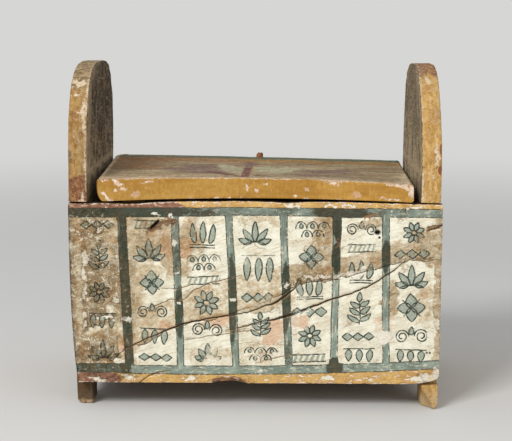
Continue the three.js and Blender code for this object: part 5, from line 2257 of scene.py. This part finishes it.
@dataclass
class Ornament:
    """Generic painted ornament in the seven columns of a wall, laid on the wall's own surface."""
    side: str
    wall: PaintedWall
    columns: tuple = COLUMNS
    wash_lift: float = 0.05
    line_lift: float = 0.1
    sink: float = 0.35
    seed: int = 5

    def _marks(self) -> list[Mark]:
        """All marks in place: each column's motifs are spread evenly, a little off true.

        Returns:
            The marks.
        """
        chance = np.random.default_rng(self.seed)
        marks = []
        for middle, motifs in zip(COLUMN_MIDDLES, self.columns):
            spare = ORNAMENT_TOP - ORNAMENT_BOTTOM - sum(height for _, _, height in motifs)
            level = ORNAMENT_TOP
            for motif, width, height in motifs:
                slant = (130.0 - (level - height / 2)) * (0.045 if middle < 60.0 else -0.01)
                centre = np.array([middle + slant + chance.uniform(-1.5, 1.5), level - height / 2])
                turn = math.radians(chance.uniform(-3.0, 3.0))
                spin = np.array([[math.cos(turn), math.sin(turn)], [-math.sin(turn), math.cos(turn)]])
                for mark in Brush(width, height).draw(motif):
                    marks.append(Mark(mark.path @ spin + centre, mark.half, mark.wash))
                level -= height + spare / (len(motifs) - 1)
        return marks

    def _slabs(self, marks: list[Mark], across: int, lift: float) -> Skin:
        """Thin closed slabs along the marks, on the wall's surface and let into it.

        A slab's place is path + v half normal for v from -1 to 1, and a slow noise makes the hand unsteady.

        Args:
            marks: The marks, all with the same number of points.
            across: How many points go across a mark.
            lift: How far the paint stands over the wall.

        Returns:
            One skin of all the slabs.
        """
        path = np.array([mark.path for mark in marks])
        half = np.array([mark.half for mark in marks])
        hand = Grain(self.seed + 1, 8.0, 3)
        sway = np.stack([hand.at(path[..., 0], level, path[..., 1]) for level in (0.0, 40.0)], -1)
        path = path + 0.45 * sway
        press = 1.0 + 0.22 * hand.at(path[..., 0], 80.0, path[..., 1])
        along = np.gradient(path, axis=1)
        normal = np.stack([-along[..., 1], along[..., 0]], -1) / np.linalg.norm(along, axis=-1)[..., None]
        v = np.linspace(-1.0, 1.0, across)
        spread = path[:, :, None] + normal[:, :, None] * (half * press)[:, :, None, None] * v[:, None]
        x, z = spread[..., 0], spread[..., 1]
        outer = self.wall.surface(x, z) + self.wall.facing * lift
        top = np.stack([x, outer, z], axis=-1)
        bottom = np.stack([x, outer - self.wall.facing * self.sink, z], axis=-1)[:, :, ::-1]
        return close_tubes(np.concatenate([top, bottom], axis=2))

    def build(self, wash: Finish, line: Finish) -> None:
        """Makes one piece of all washes and one of all lines.

        Args:
            wash: The finish of the filled shapes.
            line: The finish of the lines.
        """
        marks = self._marks()
        for name, chosen, across, lift, finish in (
                (self.side + "_ornament_washes", [m for m in marks if m.wash], 5, self.wash_lift, wash),
                (self.side + "_ornament_lines", [m for m in marks if not m.wash], 2, self.line_lift, line)):
            skin = self._slabs(chosen, across, lift)
            x, _, z = skin.points.T
            now = self.wall.scheme.values(x, z)
            fade = Grain(self.seed + 2, 24.0, 3).at(x, 0.0, z) * 0.7 + 0.25 * now["rust"]
            skin.values = {"stain": now["stain"], "bare": now["bare"], "crust": now["crust"],
                           "plaster": now["plaster"], "fade": fade}
            put_on(skin.piece(name, finish.material()), Body.BOX, Slot.FIGURE_PAINT)


@dataclass(frozen=True)
class Studio:
    """The floor, the pale surroundings, the lamps and the camera."""
    floor_half: float = 12.0
    glow_reach: tuple[float, float] = (0.7, 2.6)
    pale: tuple = srgb(214, 214, 212)
    white: tuple = srgb(255, 255, 255)
    target: tuple[float, float, float] = (0.0, 0.0, 0.16)
    camera_place: tuple[float, float, float] = (0.0317, -1.4713, 0.4295)
    camera_pitch: float = 9.23
    camera_turn: float = 1.28
    lens: float = 91.2
    sensor: float = 36.0
    world_strength: float = 0.5

    def floor(self) -> None:
        """A plain pale sheet whose far part glows as pale as the world behind it."""
        reach = np.linspace(-self.floor_half, self.floor_half, 41)
        x, y = np.meshgrid(reach, reach, indexing="ij")
        index = np.arange(x.size).reshape(x.shape)
        quads = np.stack([index[:-1, :-1], index[1:, :-1], index[1:, 1:], index[:-1, 1:]], -1).reshape(-1, 4)
        mesh = bpy.data.meshes.new("studio_floor")
        mesh.from_pydata(np.stack([x, y, 0.0 * x], -1).reshape(-1, 3).tolist(), [], quads.tolist())
        material = bpy.data.materials.new("pale_floor")
        graph = Graph(material)
        spot = graph.wire("ShaderNodeTexCoord", {}, {}, "Object")
        away = graph.wire("ShaderNodeVectorMath", {"operation": "LENGTH"}, {0: spot}, "Value")
        seen = graph.wire("ShaderNodeLightPath", {}, {}, "Is Camera Ray")
        matt = graph.wire("ShaderNodeBsdfDiffuse", {}, {"Color": self.pale})
        glow = graph.wire("ShaderNodeEmission", {}, {"Color": self.pale, "Strength": 1.0})
        share = graph.rise(away, *self.glow_reach) * seen
        both = graph.wire("ShaderNodeMixShader", {}, {0: share, 1: matt, 2: glow})
        graph.node("ShaderNodeOutputMaterial", {}, {"Surface": both})
        mesh.materials.append(material)
        floor = bpy.data.objects.new("studio_floor", mesh)
        bpy.context.scene.collection.objects.link(floor)

    def world(self) -> None:
        """Even light from all round, seen as the pale background."""
        world = bpy.data.worlds.new("studio")
        bpy.context.scene.world = world
        graph = Graph(world)
        seen = graph.wire("ShaderNodeLightPath", {}, {}, "Is Camera Ray")
        light = graph.wire("ShaderNodeBackground", {}, {"Color": self.white, "Strength": self.world_strength})
        back = graph.wire("ShaderNodeBackground", {}, {"Color": self.pale})
        both = graph.wire("ShaderNodeMixShader", {}, {0: seen, 1: light, 2: back})
        graph.node("ShaderNodeOutputWorld", {}, {"Surface": both})

    def lamp(self, name: str, place: tuple[float, float, float], size: float, watts: float) -> None:
        """One square soft lamp that faces the middle of the box.

        Args:
            name: Its name.
            place: Where it hangs, in metres.
            size: Its side in metres.
            watts: Its power.
        """
        light = bpy.data.lights.new(name, "AREA")
        light.shape, light.size, light.energy = "SQUARE", size, watts
        lamp = bpy.data.objects.new(name, light)
        lamp.location = place
        aim = np.array(self.target) - np.array(place)
        flat = math.hypot(aim[0], aim[1])
        lamp.rotation_euler = (math.atan2(flat, -aim[2]), 0.0, math.atan2(aim[1], aim[0]) - math.pi / 2)
        bpy.context.scene.collection.objects.link(lamp)

    def camera(self) -> None:
        """The photograph's view: straight on from the front and a little above."""
        data = bpy.data.cameras.new("front_view")
        data.lens, data.sensor_width = self.lens, self.sensor
        camera = bpy.data.objects.new("front_view", data)
        camera.location = self.camera_place
        camera.rotation_euler = (math.radians(90.0 - self.camera_pitch), 0.0, math.radians(self.camera_turn))
        bpy.context.scene.collection.objects.link(camera)
        bpy.context.scene.camera = camera

    def build(self) -> None:
        """Sets the whole studio up."""
        self.floor()
        self.world()
        self.lamp("key_lamp", (-1.44, -2.08, 2.14), size=1.12, watts=68.0)
        self.lamp("fill_lamp", (1.3, -1.4, 0.8), size=1.2, watts=6.0)
        self.camera()
        bpy.context.scene.view_settings.view_transform = "Standard"


@dataclass(frozen=True)
class CarriedParts:
    """CAD nodes that keep their shape and get their wood."""
    pegs: WoodFinish
    floor: WoodFinish
    cleats: WoodFinish
    replaced: tuple[str, ...] = (
        "front_wall", "back_wall", "left_end_board", "right_end_board", "lid_board", "lid_knob")

    def dress(self) -> None:
        """Gives pegs, floor and cleats their materials."""
        pegs, floor, cleats = (finish.material() for finish in (self.pegs, self.floor, self.cleats))
        for name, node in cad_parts.items():
            if name in self.replaced:
                continue
            chosen = pegs if name.endswith("_peg") else cleats if "cleat" in name else floor
            if not node.data.materials:
                node.data.materials.append(chosen)
            for number in range(len(node.material_slots)):
                node.material_slots[number].material = chosen
            LOG.info("%s: carried", name)


def peg_middles(side: str) -> tuple[tuple[float, float], ...]:
    """Where the pegs through the front or the back wall are, as x and z in millimetres."""
    boxes = [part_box(name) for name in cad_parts
             if name.startswith((side, "floor_" + side)) and name.endswith("_peg")]
    return tuple(((low[0] + high[0]) / 2 / MM, (low[2] + high[2]) / 2 / MM) for low, high in boxes)


def end_boards() -> tuple[EndBoard, EndBoard]:
    """The two end boards with the places of their wear.

    Returns:
        The left board and the right one.
    """
    nowhere = Patches(((0.0, -500.0, 1.0, 1.0),))
    left = EndBoard(
        "left_end_board", -HALF_WIDTH, LEFT_INNER_FACE, lean=2.0, rise=147.0, seed=101,
        red=Patches(((-190, 238, 30, 17),), 3.0, 102, 0.1),
        grey=Patches(((-190, 376, 40, 28), (-198, 278, 3, 6, 0, 0.8), (-184, 300, 6, 60, 0, 0.45)),
                     4.0, 103, 0.3),
        gesso=Patches(((-183.4, 234, 2.6, 6), (-186, 228.5, 5, 2.4), (-188, 351, 9, 3), (-190, 323, 8, 0.9),
                       (-181, 318, 2.6, 20), (-190, 340, 6, 2)), 2.0, 104),
        bare=nowhere, soil_and_shade=0.95)
    right = EndBoard(
        "right_end_board", RIGHT_OUTER_FACE, RIGHT_INNER_FACE, lean=1.6, rise=143.5, seed=111,
        red=Patches(((186, 374, 30, 15),), 4.0, 112, 0.3),
        grey=Patches(((176, 362, 12, 20, 0, 0.5), (196, 330, 6, 40, 0, 0.4)), 4.0, 113, 0.3),
        gesso=Patches(((186, 354, 3.6, 5), (192.6, 276, 2.6, 15), (177.6, 243, 2.4, 18),
                       (190, 256, 2, 5), (185, 262, 1.6, 3), (188, 333, 1.6, 4)), 2.0, 114),
        bare=Patches(((197.4, 284, 2.4, 7), (196.6, 262, 3.4, 6)), 1.2, 115),
        soil_and_shade=0.2, foot_out=1.5, foot_cut=(4.0, 5.0))
    return left, right


def main() -> None:
    """Builds every piece in order."""
    logging.basicConfig(level=logging.INFO, format="%(message)s")
    Studio().build()
    brushwork = (
        FigureFinish("figure_wash", srgb(177, 186, 170), srgb(148, 162, 146), srgb(114, 108, 82),
                     thin=0.4, full=0.9),
        FigureFinish("figure_line", srgb(58, 66, 57), srgb(84, 90, 77), srgb(56, 47, 34),
                     thin=0.35, full=0.96))
    for side, facing, step, scheme, columns, seed in (
            ("front", -1.0, 1.06, FRONT_SCHEME, COLUMNS, 5),
            ("back", 1.0, 1.7, BACK_SCHEME, COLUMNS[::-1], 8)):
        wall = PaintedWall(WALL_TOP - FOOT_HEIGHT, WALL_THICKNESS, ease=0.9, near_step=step, far_step=9.0,
                           side_step=2.0, station_step=step, length=2 * HALF_WIDTH, scheme=scheme,
                           facing=facing, pegs=peg_middles(side))
        wall.build(side + "_wall_painted", PaintedGessoFinish(side + "_gesso"), side + "_wall")
        Ornament(side, wall, columns, seed=seed).build(*brushwork)
    finishes = (
        # The left board's bare inner wood is darker than the right's: partly painted shade, as the left inner
        # face turns away from the key lamp.
        EndBoardFinish("left_board_paint", srgb(166, 131, 78), srgb(140, 101, 54), srgb(94, 80, 60),
                       srgb(46, 36, 27), srgb(122, 77, 56), front_tone=0.5, low_light_share=0.5),
        EndBoardFinish("right_board_paint", srgb(204, 167, 105), srgb(178, 136, 72), srgb(152, 136, 110),
                       srgb(92, 77, 59), srgb(132, 90, 74), front_tone=-0.4, low_light_share=0.85))
    for board, finish in zip(end_boards(), finishes):
        board.build(finish)
    LidBoard(width=213.2, thickness=25.0, ease=1.2, near_step=1.25, far_step=7.0, side_step=1.2,
             station_step=1.25, length=345.0).build(LidFinish("lid_paint"))
    Knob().build(WoodFinish("knob_wood", srgb(172, 116, 76), srgb(112, 68, 42), (2.0, 2.0, 9.0)))
    CarriedParts(
        WoodFinish("peg_wood", srgb(168, 108, 62), srgb(122, 72, 38), (3.0, 14.0, 3.0)),
        WoodFinish("floor_wood", srgb(148, 120, 84), srgb(108, 82, 54), (60.0, 5.0, 5.0)),
        WoodFinish("cleat_wood", srgb(140, 108, 72), srgb(100, 74, 48), (5.0, 60.0, 5.0))).dress()


if __name__ == "__main__":
    main()
